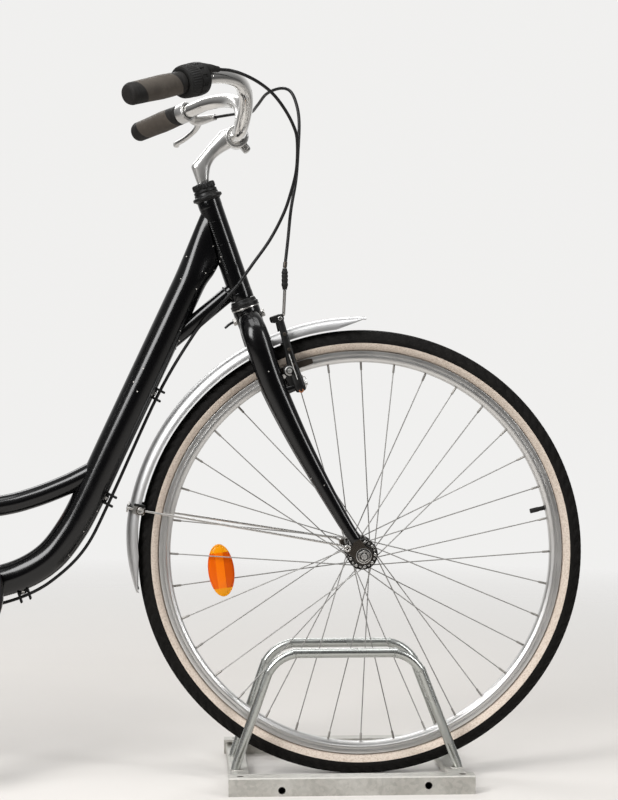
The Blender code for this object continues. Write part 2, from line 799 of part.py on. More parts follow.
def build_shifter():
    """Twist shifter beside the right grip, with the boot that its cable leaves by."""
    end, inward = grip_line(-1)
    start = end + inward * (grip_length + seat_gap)
    bore = bar_radius + grip_gap
    profile = [(0, shifter_length)] + [(radius * shifter_radius, place * shifter_length)
                                          for radius, place in shifter_shares] + [(0, 0)]
    body = turned("twist_shifter", profile, axis_frame(start, inward), steps=20)
    cable_start = front_axle + Vector(shift_cable_front_route[0])
    towards = (front_axle + Vector(shift_cable_front_route[1]) - cable_start).normalized()
    root = start + inward * shifter_length * 0.72 + upward * shifter_radius * 0.66
    boot = rod("boot", [root, cable_start - towards * shifter_length / 2, cable_start - towards * seat_gap],
               boot_radius, swell=[1.3, 1, 0.6], sides=8)
    hollow = rod("bore", [start - inward * shifter_length, start + inward * shifter_length * 2], bore)
    return paint(cut(fuse("twist_shifter", [body, boot]), [hollow]), *black_plastic)


def build_lever():
    """Brake lever at the left grip: a clamp round the bar, a pivot body and a long flat blade."""
    end, inward = grip_line(1)
    outward = Vector((-inward.y, inward.x, 0)).normalized()
    if outward.x < 0:
        outward = -outward
    seat = end + inward * (grip_length + seat_gap + lever_clamp_width / 2)
    bore = bar_radius + grip_gap
    half = lever_clamp_width / 2
    ring = turned("ring", [(bore, half), (lever_clamp_radius, half), (lever_clamp_radius, -half), (bore,
                                                                                                   -half)],
                  axis_frame(seat, inward), steps=18)
    pivot = seat + outward * lever_reach * 0.62 - upward * lever_drop * 0.35
    cable_start = front_axle + Vector(brake_cable_route[0])
    towards = (front_axle + Vector(brake_cable_route[1]) - cable_start).normalized()
    body = rod("body", [seat + outward * (bore + lever_clamp_radius) / 2, pivot,
                        cable_start - towards * seat_gap],
               lever_body_radius, swell=[1, 1, 0.5], sides=10)
    points = [seat - inward * lever_length * along + outward * lever_reach * out - upward * lever_drop * down
              for along, out, down, swell in lever_shares]
    blade = rod("blade", points, lever_thickness, swell=[entry[3] for entry in lever_shares], sides=8,
                smooth=2)
    bore_rod = rod("bore", [seat - inward * lever_clamp_width, seat + inward * lever_clamp_width], bore,
                   sides=18)
    return paint(cut(fuse("brake_lever", [ring, body, blade]), [bore_rod]), *bare_alloy)


def shoe_place():
    """Where the line of the brake arms crosses the brake track, along and ahead of the steering axis."""
    ahead = brake_boss_length + seat_gap + brake_arm_thickness / 2
    return sqrt(brake_track_radius ** 2 - (ahead - fork_offset) ** 2), ahead


def arm_top(side):
    ahead = brake_boss_length + brake_arm_thickness / 2 + brake_arm_lean
    return steer_point(brake_boss_along + brake_arm_length, ahead, side * (blade_spread - brake_arm_lean))


def build_brake(word, side):
    """One upright brake arm and its shoe, which faces the brake track."""
    along, ahead = shoe_place()
    foot = steer_point(brake_boss_along, ahead, side * blade_spread)
    shoulder = steer_point(along, ahead, side * (blade_spread - brake_arm_lean / 2))
    arm = rod("brake_arm_" + word, [foot - steer_up * brake_arm_half_width / 2, foot, shoulder,
                                    arm_top(side)],
              brake_arm_half_width, swell=[0.7, 0.85, 0.75, 0.5], sides=10, smooth=2)
    bolt = rod("bolt", [foot, foot + steer_forward * (brake_arm_thickness / 2 + bolt_head)],
               brake_boss_radius, sides=8)
    face = rod("face", [foot - steer_forward * brake_arm_thickness / 2, foot], brake_boss_radius * 1.2,
               sides=10)
    arm = fuse("brake_arm_" + word, [arm, bolt, face])
    inner_face = rim_width / 2 + brake_gap
    centre = steer_point(along, ahead, side * (inner_face + brake_shoe_depth / 2))
    radial = atan2(centre.z - front_axle.z, centre.x - front_axle.x)
    spread = brake_shoe_length / 2 / brake_track_radius
    outer_arc = [(brake_track_radius + brake_shoe_height / 2,
                  radial + share * spread) for share in shoe_steps]
    inner_arc = [(brake_track_radius - brake_shoe_height / 2, radial + share * spread)
                 for share in reversed(shoe_steps)]
    outline = [(front_axle.x + radius * cos(angle), front_axle.z + radius * sin(angle))
               for radius, angle in outer_arc + inner_arc]
    shoe = plate("shoe", [outline], brake_shoe_depth, upright_frame(0, centre.y, 0))
    reach = abs(shoulder.y) - brake_arm_half_width * 0.75 - seat_gap
    post = rod("post", [centre, Vector((centre.x, side * reach, centre.z))], shoe_post_radius, sides=8)
    shoe = fuse("brake_shoe_" + word, [shoe, post])
    return [paint(arm, *black_plastic), paint(shoe, *rubber)]


def build_noodle():
    """Bent guide tube that carries the brake wire over to the other arm, and the boot above it."""
    cable_end = front_axle + Vector(brake_cable_route[-1])
    top = arm_top(-1)
    stand_off = brake_arm_half_width * 0.5 + noodle_radius + seat_gap
    rest = top + steer_forward * stand_off
    boot_foot = cable_end - upward * noodle_boot_length
    far = arm_top(1) + steer_forward * stand_off
    route = [boot_foot, boot_foot - upward * noodle_boot_radius * 2, rest + upward * noodle_bend, rest,
             rest + (far - rest) * 0.16, rest + (far - rest) * 0.32]
    tube = rod("brake_noodle", route, noodle_radius, sides=8, smooth=2)
    wire = rod("wire", [rest + (far - rest) * 0.2, far], brake_wire_radius, sides=6)
    boot = rod("noodle_boot", [cable_end - upward * seat_gap, cable_end - upward * noodle_boot_length * 0.2,
                               cable_end - upward * noodle_boot_length * 0.8,
                               boot_foot + upward * seat_gap], noodle_boot_radius, swell=[0.7, 1, 1,
                                                                                          0.6], sides=10)
    return [paint(fuse("brake_noodle", [tube, wire]), *polished), paint(boot, *rubber)]


def cable(name, route, sides=8):
    """A cable along the smooth curve through its route, with a point every few diameters."""
    length = sum((Vector(end) - Vector(start)).length for start, end in zip(route, route[1:]))
    steps = max(1, round(length / (cable_spacing * (len(route) - 1))))
    placed = [front_axle + Vector(point) for point in route]
    return paint(rod(name, placed, cable_radius, sides=sides, smooth=steps), *black_plastic)


# Mudguards and their stays

def arc_guard(name, axle, start, end, steps):
    """A mudguard: a shallow channel turned round the axle over part of a circle."""
    half = mudguard_width / 2
    edge = mudguard_radius - mudguard_depth
    flank = edge + mudguard_depth * 0.45
    shoulder = mudguard_radius - mudguard_depth * 0.22
    profile = [(edge, half), (flank, half), (shoulder, half * 0.86), (mudguard_radius, half * 0.45),
               (mudguard_radius, -half * 0.45), (shoulder, -half * 0.86), (flank, -half), (edge, -half)]
    guard = turned(name, profile, wheel_frame(axle, start), steps=steps, angle=end - start, closed=False,
                   wall=mudguard_wall)
    return guard


def build_front_mudguard():
    """The front mudguard with the bracket under the fork crown."""
    guard = arc_guard("front_mudguard", front_axle, front_guard_start, front_guard_end, 14)
    crown_foot = steer_point(fork_length - crown_length - seat_gap)
    height = (crown_foot - front_axle).length - mudguard_radius + guard_bracket_sink
    frame = axis_frame(crown_foot, steer_up)
    bracket = block("bracket", (0, 0, -height / 2), (guard_bracket_width, guard_bracket_width, height),
                    frame)
    return paint(fuse("front_mudguard", [guard, bracket]), *bare_alloy)


def wheel_stays(name, axle, hub_width, eyelet_angle, stay_angle):
    """Two wire stays from the dropout tabs to a bridge across the mudguard, with a clip at each side."""
    out_face = hub_width / 2 + dropout_thickness + seat_gap + stay_radius
    guard_side = mudguard_width / 2 + seat_gap + stay_radius
    pieces = [block("bridge", (0, 0, 0), (bridge_thickness, 2 * (guard_side + stay_radius), bridge_length),
                    Matrix.Translation(around(axle, mudguard_radius + seat_gap + bridge_thickness / 2,
                                              stay_angle))
                    @ Matrix.Rotation(-stay_angle, 4, "Y"))]
    for side in (1, -1):
        start = around(axle, eyelet_reach, eyelet_angle, side * out_face)
        beside = around(axle, mudguard_radius - mudguard_depth, stay_angle, side * guard_side)
        tip = around(axle, mudguard_radius + bridge_thickness + stay_tip, stay_angle, side * guard_side)
        clear = around(axle, tab_reach + 4 * stay_radius, eyelet_angle, side * out_face)
        pieces.append(rod("stay", [start, clear, beside, tip], stay_radius, sides=6))
        pieces.append(disc("eye", start, sideways, stay_eye_radius, 2 * stay_radius, sides=10))
        clip = around(axle, mudguard_radius - mudguard_depth * 0.75, stay_angle,
                      side * (mudguard_width / 2 + seat_gap + stay_clip / 2))
        pieces.append(block("clip", (0, 0, 0), (stay_clip, stay_clip, stay_clip * 1.3),
                            Matrix.Translation(clip) @ Matrix.Rotation(-stay_angle, 4, "Y")))
    return paint(fuse(name, pieces), *polished)


# Frame

def frame_point(along_share, up_share):
    """A point between the crank axle (0, 0) and the top joint on the head tube (1, 1)."""
    joint = steer_point(head_top - main_tube_drop)
    return Vector((crank_axle.x + along_share * (joint.x - crank_axle.x), 0,
                   crank_axle.z + up_share * (joint.z - crank_axle.z)))


def seat_point(along, ahead=0.0, side=0.0):
    """A point along the seat tube from the crank axle."""
    return crank_axle + seat_up * along + Vector((sin(seat_angle), 0,
                                                  cos(seat_angle))) * ahead + sideways * side


def stay_line(start, end, side, shares, radius, name):
    """A frame stay from start to end, with sideways places given beside its shares of the way."""
    points = []
    for along, spread in shares:
        point = start + (end - start) * along
        points.append(Vector((point.x, side * spread * rear_hub_width / 2, point.z)))
    return rod(name, points, radius, sides=10, smooth=2)


def build_frame():
    head_tube = rod("head_tube", [steer_point(head_bottom), steer_point(head_top)], head_tube_outer,
                    sides=16)
    main_route = [frame_point(along, up) for along, up in main_tube_shares]
    swell = [main_tube_joint_share] + [1] * (len(main_route) - 2) + [main_tube_foot_share]
    main_tube = rod("main_tube", main_route, main_tube_radius, swell=swell, sides=14, smooth=2)
    seat_tube = rod("seat_tube", [seat_point(0), seat_point(seat_tube_length)], seat_tube_radius, sides=16)
    joint = seat_point(upper_tube_joint)
    start = frame_point(*upper_tube_start_shares)
    upper_route = [start, start + (joint - start) * 0.30 - upward * upper_tube_sag * 0.7,
                   start + (joint - start) * 0.65 - upward * upper_tube_sag, joint]
    upper_tube = rod("upper_tube", upper_route, upper_tube_radius, sides=12, smooth=2)
    brace = rod("brace", [steer_point(head_bottom + brace_rise), frame_point(*brace_end_shares)],
                brace_radius, sides=12)
    shell = rod("crank_shell", [crank_axle - sideways * crank_shell_width / 2,
                                crank_axle + sideways * crank_shell_width / 2], crank_shell_radius, sides=16)
    pieces = [head_tube, main_tube, seat_tube, upper_tube, brace, shell]
    stay_top = seat_point(seat_tube_length - seat_stay_drop)
    for side in (1, -1):
        pieces.append(stay_line(crank_axle, rear_axle, side, chain_stay_shares, chain_stay_radius,
                                "chain_stay"))
        pieces.append(stay_line(stay_top, rear_axle, side, seat_stay_shares, seat_stay_radius, "seat_stay"))
        pieces.append(axle_plate("dropout", rear_axle, side, rear_hub_width, rear_tabs))
    for start, shares in ((crank_axle, chain_stay_shares), (stay_top, seat_stay_shares)):
        reach = mudguard_radius + seat_gap + bridge_radius
        middle = rear_axle + (start - rear_axle).normalized() * reach
        spread = shares[1][1] * rear_hub_width / 2
        pieces.append(rod("bridge", [middle - sideways * spread, middle + sideways * spread],
                          bridge_radius, sides=8))
    tube_line = smooth_route(main_route, guide_search_steps)
    for index in guide_places:
        route_point = front_axle + Vector(shift_cable_frame_route[index])
        anchor = min(tube_line, key=lambda spot: (spot - route_point).length)
        edge = route_point + (anchor - route_point).normalized() * (cable_radius + guide_gap)
        pieces.append(rod("guide", [edge, anchor], guide_radius, sides=8))
    bracket_start = rear_axle + Vector((dropout_radius * 1.3, (rear_hub_width + dropout_thickness) / 2,
                                        -dropout_radius * 0.3))
    bracket_end = side_stand_pivot() + side_stand_axis() * (side_stand_head_length / 2 + seat_gap)
    knee = bracket_end + side_stand_axis() * side_stand_bracket_radius * 1.4
    pieces.append(rod("stand_bracket", [bracket_start, knee, bracket_end], side_stand_bracket_radius,
                      sides=10))
    frame = fuse("frame", pieces)
    bores = [rod("bore", [steer_point(fork_length), steer_point(head_top + overrun)],
                 steerer_radius + turning_gap, sides=16),
             rod("bore", [crank_axle - sideways * crank_shell_width,
                          crank_axle + sideways * crank_shell_width],
                 spindle_radius + turning_gap, sides=16),
             rod("bore", [seat_point(seat_tube_length - seat_post_depth - seat_gap),
                          seat_point(seat_tube_length + overrun)], seat_post_radius + seat_gap, sides=16)]
    return paint(cut(frame, bores), *black_paint)


# Saddle

def build_seat_post():
    post = rod("seat_post", [seat_point(seat_tube_length - seat_post_depth), seat_point(saddle_reach)],
               seat_post_radius, sides=16)
    return paint(post, *polished)


def build_seat_clamp():
    height = seat_clamp_height
    centre = seat_point(seat_tube_length - height / 2 - overrun)
    ring = disc("seat_clamp", centre, seat_up, seat_tube_radius + seat_clamp_wall, height,
                bore=seat_tube_radius + seat_gap)
    return paint(ring, *black_plastic)


def saddle_base():
    """Middle of the saddle's underside."""
    top = seat_point(saddle_reach)
    return Vector((top.x - saddle_set_back, 0, top.z + rail_lift))


def build_saddle():
    """Broad crowned saddle from a coarse cage, flat underneath."""
    base = saddle_base()
    cage = bmesh.new()
    rings = []
    for along, width, height in saddle_shares:
        ring = []
        for out, up in saddle_section_shares:
            ring.append(cage.verts.new((base.x + (along - 0.5) * saddle_length,
                                        out * width * saddle_width / 2,
                                        base.z + up * height * saddle_height)))
        rings.append(ring)
    count = len(saddle_section_shares)
    for first, second in zip(rings, rings[1:]):
        for index in range(count):
            after = (index + 1) % count
            cage.faces.new((first[index], first[after], second[after], second[index]))
    cage.faces.new(rings[0])
    cage.faces.new(rings[-1])
    bmesh.ops.recalc_face_normals(cage, faces=cage.faces)
    mesh = bpy.data.meshes.new("saddle")
    cage.to_mesh(mesh)
    cage.free()
    saddle = new_object("saddle", mesh)
    smooth = saddle.modifiers.new("smooth", "SUBSURF")
    smooth.levels = 1
    smooth.render_levels = 1
    saddle = bake(saddle)
    flat = block("flat", base - upward * saddle_height, (2 * saddle_length, 2 * saddle_width,
                                                         2 * saddle_height))
    return paint(cut(saddle, [flat]), *rubber)


def build_saddle_frame():
    """Two wire rails with a clamp at the seat post."""
    base = saddle_base()
    post_top = seat_point(saddle_reach)
    rail_z = post_top.z - rail_clamp_height * 0.15
    under = base.z - seat_gap - rail_radius
    pieces = [block("clamp", (post_top.x, 0, rail_z), (rail_clamp_length, 2 * rail_spread + 4 * rail_radius,
                                                       rail_clamp_height))]
    for side in (1, -1):
        route = [(base.x + saddle_length * along, side * rail_spread * spread,
                  rail_z + (under - rail_z) * up)
                 for along, spread, up in rail_shares]
        pieces.append(rod("rail", route, rail_radius, sides=8, smooth=2))
    bore = rod("bore", [seat_point(saddle_reach - rail_clamp_height * 2), post_top + seat_up * seat_gap],
               (seat_post_radius + seat_gap) / cos(pi / round_sides))
    return paint(cut(fuse("saddle_frame", pieces), [bore]), *polished)


# Carrier and lamp

def carrier_deck_front():
    return rear_axle.x + carrier_front_reach


def build_carrier():
    """Bent rod carrier: deck loop, cross bars and a leg pair down to the dropouts."""
    half = carrier_width / 2
    front = carrier_deck_front()
    rear = front - carrier_length
    radius = carrier_rod_radius
    z = carrier_height - radius
    loop = [(front, half * 0.35, z), (front - half * 0.4, half, z), (rear + half * 0.5, half, z), (rear,
        half * 0.6, z),
            (rear, -half * 0.6, z), (rear + half * 0.5, -half, z), (front - half * 0.4, -half, z),
            (front, -half * 0.35, z)]
    pieces = [rod("deck", loop, radius, sides=8)]
    for share in carrier_bar_shares:
        x = front - carrier_length * share
        pieces.append(rod("bar", [(x, -half, z), (x, half, z)], radius * 0.8, sides=6))
    pieces.append(rod("spine", [(front - carrier_length * carrier_bar_shares[0], 0, z),
                                (rear, 0, z)], radius * 0.8, sides=6))
    foot_y = rear_hub_width / 2 + dropout_thickness + seat_gap + radius * 0.8
    for side in (1, -1):
        foot = around(rear_axle, eyelet_reach, carrier_tab_angle, side * foot_y)
        for share in carrier_leg_shares:
            x = front - carrier_length * share
            pieces.append(rod("leg", [(x, side * half, z), foot], radius * 0.8, sides=6))
        pieces.append(disc("foot", foot, sideways, radius * 1.6, radius * 1.6, sides=12))
    stay_end = carrier_stay_end()
    pieces.append(rod("front_bar", [(front, -half * 0.35, z), (front, half * 0.35, z)], radius, sides=8))
    pieces.append(rod("front_stay", [(front, 0, z), stay_end], radius * 0.9, sides=8))
    return paint(fuse("rear_carrier", pieces), *black_paint)


def carrier_stay_end():
    """Just behind the seat tube, where the carrier is bolted."""
    place = seat_point(seat_tube_length - seat_stay_drop)
    return place - Vector((seat_tube_radius + seat_gap + carrier_rod_radius, 0, 0))


def build_tail_lamp():
    rear = carrier_deck_front() - carrier_length
    centre = (rear - carrier_rod_radius - seat_gap - lamp_depth / 2, 0,
              carrier_height - lamp_height / 2)
    lamp = block("tail_lamp", centre, (lamp_depth, lamp_width, lamp_height), bevel=lamp_bevel)
    return paint(lamp, *red)


# Drive

def belt_outline(offset, start_turn=0.0):
    """Closed line round the chainring and the sprocket, moved out by an offset."""
    lead = rear_axle - crank_axle
    distance = hypot(lead.x, lead.z)
    heading = atan2(lead.z, lead.x)
    open_angle = acos((chainring_radius - sprocket_radius) / distance)
    points = []
    for step in range(chainring_arc_steps + 1):
        angle = heading + open_angle + (2 * pi - 2 * open_angle) * step / chainring_arc_steps
        points.append((crank_axle.x + (chainring_radius + offset) * cos(angle),
                       crank_axle.z + (chainring_radius + offset) * sin(angle)))
    for step in range(sprocket_arc_steps + 1):
        angle = heading - open_angle + 2 * open_angle * step / sprocket_arc_steps
        points.append((rear_axle.x + (sprocket_radius + offset) * cos(angle),
                       rear_axle.z + (sprocket_radius + offset) * sin(angle)))
    return points


def build_chain():
    """Roller chain as a closed channel: two rows of side plates and the outer web, open to the teeth."""
    half = chain_depth / 2
    web = tooth_rise + tooth_gap
    pieces = []
    for side in (1, -1):
        y = -chain_line + side * (chain_width - chain_plate) / 2
        pieces.append(plate("side", [belt_outline(half), belt_outline(-half)], chain_plate,
                            upright_frame(0, y, 0)))
    pieces.append(plate("web", [belt_outline(half - seat_gap), belt_outline(web)],
                        chain_width - chain_plate,
                        upright_frame(0, -chain_line, 0)))
    return paint(fuse("chain", pieces), *dark_steel)


def toothed_outline(pitch_radius, teeth):
    outline = []
    for index in range(teeth):
        centre = 2 * pi * index / teeth
        for turn, rise in tooth_shares:
            radius = pitch_radius + rise * tooth_rise
            angle = centre + turn * 2 * pi / teeth
            outline.append((radius * cos(angle), radius * sin(angle)))
    return outline


def build_chainring():
    """Toothed ring with five windows and the boss that seats against the right crank."""
    windows = []
    for index in range(5):
        middle = 2 * pi * index / 5
        outer = [(chainring_radius * window_outer_share, middle + turn) for turn in window_outer_turns]
        inner = [(chainring_radius * window_inner_share, middle + turn) for turn in window_inner_turns]
        windows.append([(radius * cos(angle), radius * sin(angle)) for radius, angle in outer + inner])
    bore = spindle_radius + seat_gap
    ring = plate("chainring", [toothed_outline(chainring_radius, chainring_teeth)] + windows,
                 tooth_thickness,
                 upright_frame(crank_axle.x, -chain_line, crank_axle.z))
    inner = chain_line - tooth_thickness / 2
    outer = crank_inner_face - seat_gap
    boss = rod("boss", [crank_axle - sideways * inner, crank_axle - sideways * outer],
               chainring_boss_radius, sides=16)
    hole = rod("hole", [crank_axle, crank_axle - sideways * crank_shell_width], bore, sides=16)
    return paint(cut(fuse("chainring", [ring, boss]), [hole]), *bare_alloy)


def build_sprocket():
    bore = axle_radius + turning_gap
    plate_form = plate("sprocket", [toothed_outline(sprocket_radius, sprocket_teeth)], tooth_thickness,
                       upright_frame(rear_axle.x, -chain_line, rear_axle.z))
    inner = rear_flange_spread + flange_thickness / 2 + hub_collar + seat_gap
    outer = chain_line + sprocket_boss_overhang
    boss = rod("boss", [rear_axle - sideways * inner, rear_axle - sideways * outer],
               sprocket_radius * 0.62, sides=16)
    hole = rod("hole", [rear_axle, rear_axle - sideways * rear_hub_width], bore)
    return paint(cut(fuse("sprocket", [plate_form, boss]), [hole]), *dark_steel)


def crank_arm(name, side, angle):
    """Tapered crank arm with a boss at the spindle and the pedal's pin."""
    outline = []
    for step in range(13):
        turn = pi / 2 + pi * step / 12
        outline.append((crank_root_half_width * cos(turn), crank_root_half_width * sin(turn)))
    for step in range(11):
        turn = -pi / 2 + pi * step / 10
        outline.append((crank_length + crank_tip_half_width * cos(turn), crank_tip_half_width * sin(turn)))
    middle = side * (crank_inner_face + crank_thickness / 2)
    frame = upright_frame(crank_axle.x, middle, crank_axle.z) @ Matrix.Rotation(angle, 4, "Z")
    arm = plate(name, [outline], crank_thickness, frame)
    end = around(crank_axle, crank_length, angle, side * (crank_inner_face + crank_thickness / 2))
    pin = rod("pin", [end, end + sideways * side * (crank_thickness / 2 + pedal_gap + pedal_width * 0.8)],
              pedal_pin_radius, sides=12)
    return paint(fuse(name, [arm, pin]), *bare_alloy)


def build_spindle():
    half = crank_inner_face - seat_gap
    return paint(rod("crank_spindle", [crank_axle - sideways * half, crank_axle + sideways * half],
                     spindle_radius, sides=16), *polished)


def pedal_middle(side, angle):
    return around(crank_axle, crank_length, angle,
                  side * (crank_inner_face + crank_thickness + pedal_gap + pedal_width / 2))


def build_pedal(name, side, angle):
    """Platform pedal: a core on the pin, two end plates and two tread blocks."""
    centre = pedal_middle(side, angle)
    core = disc("core", centre, sideways, pedal_core_radius, pedal_width - pedal_end_thickness, sides=14)
    pieces = [core]
    for end in (1, -1):
        place = centre + sideways * end * (pedal_width - pedal_end_thickness) / 2
        pieces.append(block("end", place, (pedal_length - 3 * pedal_bevel, pedal_end_thickness,
                                           pedal_height * 0.8), bevel=pedal_bevel))
        tread = centre + Vector((end * (pedal_length / 2 - pedal_tread_depth / 2), 0, 0))
        pieces.append(block("tread", tread, (pedal_tread_depth, pedal_width - pedal_end_thickness,
                                             pedal_height),
                            bevel=pedal_bevel))
    pedal = fuse(name, pieces)
    start = centre - sideways * side * pedal_width
    bore = rod("bore", [start, centre + sideways * side * (pedal_width * 0.32)],
               pedal_pin_radius + turning_gap, sides=14)
    return paint(cut(pedal, [bore]), *black_plastic)


def guard_outline(offset, drop, overshoot):
    """Outline of the chain guard: round the front of the chainring and back over the upper run."""
    lead = rear_axle - crank_axle
    distance = hypot(lead.x, lead.z)
    heading = atan2(lead.z, lead.x)
    open_angle = acos((chainring_radius - sprocket_radius) / distance)
    along = Vector((lead.x, 0, lead.z)) / distance
    top_angle = heading - open_angle
    normal = Vector((cos(top_angle), 0, sin(top_angle)))
    run = Vector((-normal.z, 0, normal.x))
    if run.dot(along) < 0:
        run = -run
    reach = chainring_radius + offset
    points = []
    for step in range(guard_arc_steps + 1):
        angle = top_angle - guard_sweep * step / guard_arc_steps
        points.append((crank_axle.x + reach * cos(angle), crank_axle.z + reach * sin(angle)))
    tangent = sqrt(distance ** 2 - (chainring_radius - sprocket_radius) ** 2)
    start = crank_axle + normal * reach
    rear_top = start + run * (tangent - guard_rear_stop + overshoot)
    rear_low = rear_top - normal * (guard_tail_height + drop)
    joint = start + run * chainring_radius * 1.05 - normal * (guard_tail_height + drop)
    points.append((joint.x, joint.z))
    points.append((rear_low.x, rear_low.z))
    points.append((rear_top.x, rear_top.z))
    return points


def build_chain_guard():
    """Open chain guard: a plate outside the chain with a lip over it, and its bracket on the crank shell."""
    depth = guard_outer_face - guard_inner_face
    solid = plate("chain_guard", [guard_outline(guard_margin, 0, 0)], depth,
                  upright_frame(0, -(guard_outer_face + guard_inner_face) / 2, 0))
    hollow = plate("hollow", [guard_outline(guard_margin - guard_wall, guard_tail_height, overrun)], depth,
                   upright_frame(0, -(guard_outer_face + guard_inner_face) / 2 + guard_wall, 0))
    window = disc("window", crank_axle - sideways * guard_outer_face, sideways, guard_window_radius,
                  depth / 2)
    guard = cut(solid, [hollow, window])
    near = crank_shell_radius * 0.7
    far = chainring_radius + guard_margin - guard_wall / 2
    arm = block("arm", ((near + far) / 2, 0, 0), (far - near, guard_bracket_thickness,
                                                  guard_bracket_height),
                Matrix.Translation((crank_axle.x, -guard_inner_face, crank_axle.z))
                @ Matrix.Rotation(-guard_bracket_angle, 4, "Y"))
    inner = crank_shell_width / 2 + seat_gap
    outer = guard_inner_face + guard_bracket_thickness / 2
    ring = disc("ring", crank_axle - sideways * (inner + outer) / 2, sideways, crank_shell_radius,
                outer - inner,
                bore=guard_ring_bore)
    return paint(fuse("chain_guard", [guard, arm, ring]), *black_plastic)


def build_coaster_arm():
    """Brake arm of the rear hub: a cap over the hub's left end and an arm held at the chain stay."""
    inner = rear_flange_spread + flange_thickness / 2 + hub_collar + turning_gap
    outer = rear_hub_width / 2 - seat_gap
    bore = axle_radius + seat_gap
    step = inner + coaster_step
    profile = [(bore, -inner), (coaster_cap_radius, -inner), (coaster_cap_radius, -step),
               (coaster_neck_radius, -step), (coaster_neck_radius, -outer), (bore, -outer)]
    cap = turned("coaster_arm", profile, wheel_frame(rear_axle), steps=20)
    direction = (crank_axle - rear_axle).normalized()
    below = Vector((direction.z, 0, -direction.x))
    start = rear_axle + sideways * (inner + coaster_step / 2) + below * coaster_cap_radius * 0.7
    end = rear_axle + direction * coaster_reach + sideways * rear_hub_width / 2 * coaster_end_share \
        + below * (chain_stay_radius + coaster_arm_radius + seat_gap)
    arm = rod("arm", [start, end], coaster_arm_radius, sides=8)
    return paint(fuse("coaster_arm", [cap, arm]), *bare_alloy)


def build_shift_joint():
    """Cable joint of the rear hub, inside the right dropout."""
    outer = rear_hub_width / 2 - seat_gap
    inner = outer - shift_joint_thickness
    joint = disc("shift_joint", rear_axle - sideways * (inner + outer) / 2, sideways, shift_joint_radius,
                 outer - inner, bore=axle_radius + seat_gap)
    cable_end = front_axle + Vector(shift_cable_frame_route[-1])
    towards = (cable_end - front_axle - Vector(shift_cable_frame_route[-2])).normalized()
    stub = rod("stub", [cable_end + towards * seat_gap, cable_end + towards * guide_radius,
                        rear_axle - sideways * (inner + outer) / 2
                        - upward * shift_joint_radius * 0.7], cable_radius * 1.2, sides=8)
    return paint(fuse("shift_joint", [joint, stub]), *black_plastic)


# Side stand

def side_stand_pivot():
    return rear_axle + Vector((side_stand_forward, side_stand_side, -side_stand_drop))


def side_stand_axis():
    """Axis of the side stand, square to its stored and its lowered directions."""
    return Vector(side_stand_stored).cross(Vector(side_stand_lowered)).normalized()


def build_side_stand():
    pivot = side_stand_pivot()
    axis = side_stand_axis()
    stored = Vector(side_stand_stored).normalized()
    head = disc("side_stand", pivot, axis, side_stand_head_radius, side_stand_head_length, sides=16)
    leg = rod("leg", [pivot, pivot + stored * side_stand_length * 0.55, pivot + stored * side_stand_length],
              side_stand_radius, swell=[1, 0.9, 0.8], sides=10)
    tip = pivot + stored * side_stand_length
    foot = rod("foot", [tip - stored * side_stand_foot, tip], side_stand_radius * 1.25, sides=10)
    return paint(fuse("side_stand", [head, leg, foot]), *black_paint)


# Floor stand

def build_stand_base():
    """Bent sheet base: two angled rails joined by two lipped cross plates."""
    rear = front_axle.x - stand_rear_reach
    front = front_axle.x + stand_front_reach
    length = front - rear
    middle = (front + rear) / 2
    outer = stand_width / 2
    inner = outer - stand_rail_flange
    pieces = []
    for side in (1, -1):
        rail = [(side * outer, 0), (side * outer, stand_rail_height), (side * inner, stand_rail_height),
                (side * inner, stand_rail_height - stand_wall), (side * (outer - stand_wall),
                                                                 stand_rail_height - stand_wall),
                (side * (outer - stand_wall), 0)]
        pieces.append(plate("rail", [rail], length, lengthwise_frame(middle)))
    low = stand_wall
    for edge, inward in ((rear, 1), (front, -1)):
        near = edge + inward * stand_wall
        far = edge + inward * (stand_wall + stand_cross_width)
        channel = [(near, low), (near, stand_cross_top), (far, stand_cross_top), (far, low),
                   (far - inward * stand_wall, low), (far - inward * stand_wall,
                                                      stand_cross_top - stand_wall),
                   (near + inward * stand_wall,
                    stand_cross_top - stand_wall), (near + inward * stand_wall, low)]
        pieces.append(plate("cross", [channel], stand_width - stand_wall, upright_frame(0, 0, 0)))
    return paint(fuse("stand_base", pieces), *galvanised)


def build_hoop(name, side):
    """Bent tube that guides the tyre, from the rear cross plate over to the front one."""
    rear = front_axle.x - stand_rear_reach + stand_cross_width / 2
    front = front_axle.x + stand_front_reach - stand_cross_width / 2
    foot = stand_cross_top + seat_gap
    y = side * hoop_spread
    top = hoop_height - hoop_radius
    points = [(rear, y, foot), (rear, y, foot + hoop_radius)]
    for centre_x, first in ((rear + hoop_lean + hoop_corner, pi), (front - hoop_lean - hoop_corner,
                                                                   pi / 2)):
        for step in range(5):
            angle = first - step * pi / 8
            points.append((centre_x + hoop_corner * cos(angle), y,
                           top - hoop_corner + hoop_corner * sin(angle)))
    points += [(front, y, foot + hoop_radius), (front, y, foot)]
    return paint(rod(name, points, hoop_radius, sides=10), *galvanised)


def empty_at(name, place, parent=None):
    axis = bpy.data.objects.new(name, None)
    parts.objects.link(axis)
    axis.location = place
    bpy.context.view_layer.update()
    if parent:
        axis.parent = parent
        axis.matrix_parent_inverse = parent.matrix_world.inverted()
        bpy.context.view_layer.update()
    return axis


def carry(axis, things):
    """Parents pieces to the empty on their joint's axis and moves their origins there."""
    bpy.context.view_layer.update()
    place = axis.matrix_world.translation.copy()
    for thing in things:
        thing.data.transform(Matrix.Translation(-place))
        thing.parent = axis
        thing.matrix_parent_inverse = Matrix.Identity(4)
        thing.location = (0, 0, 0)


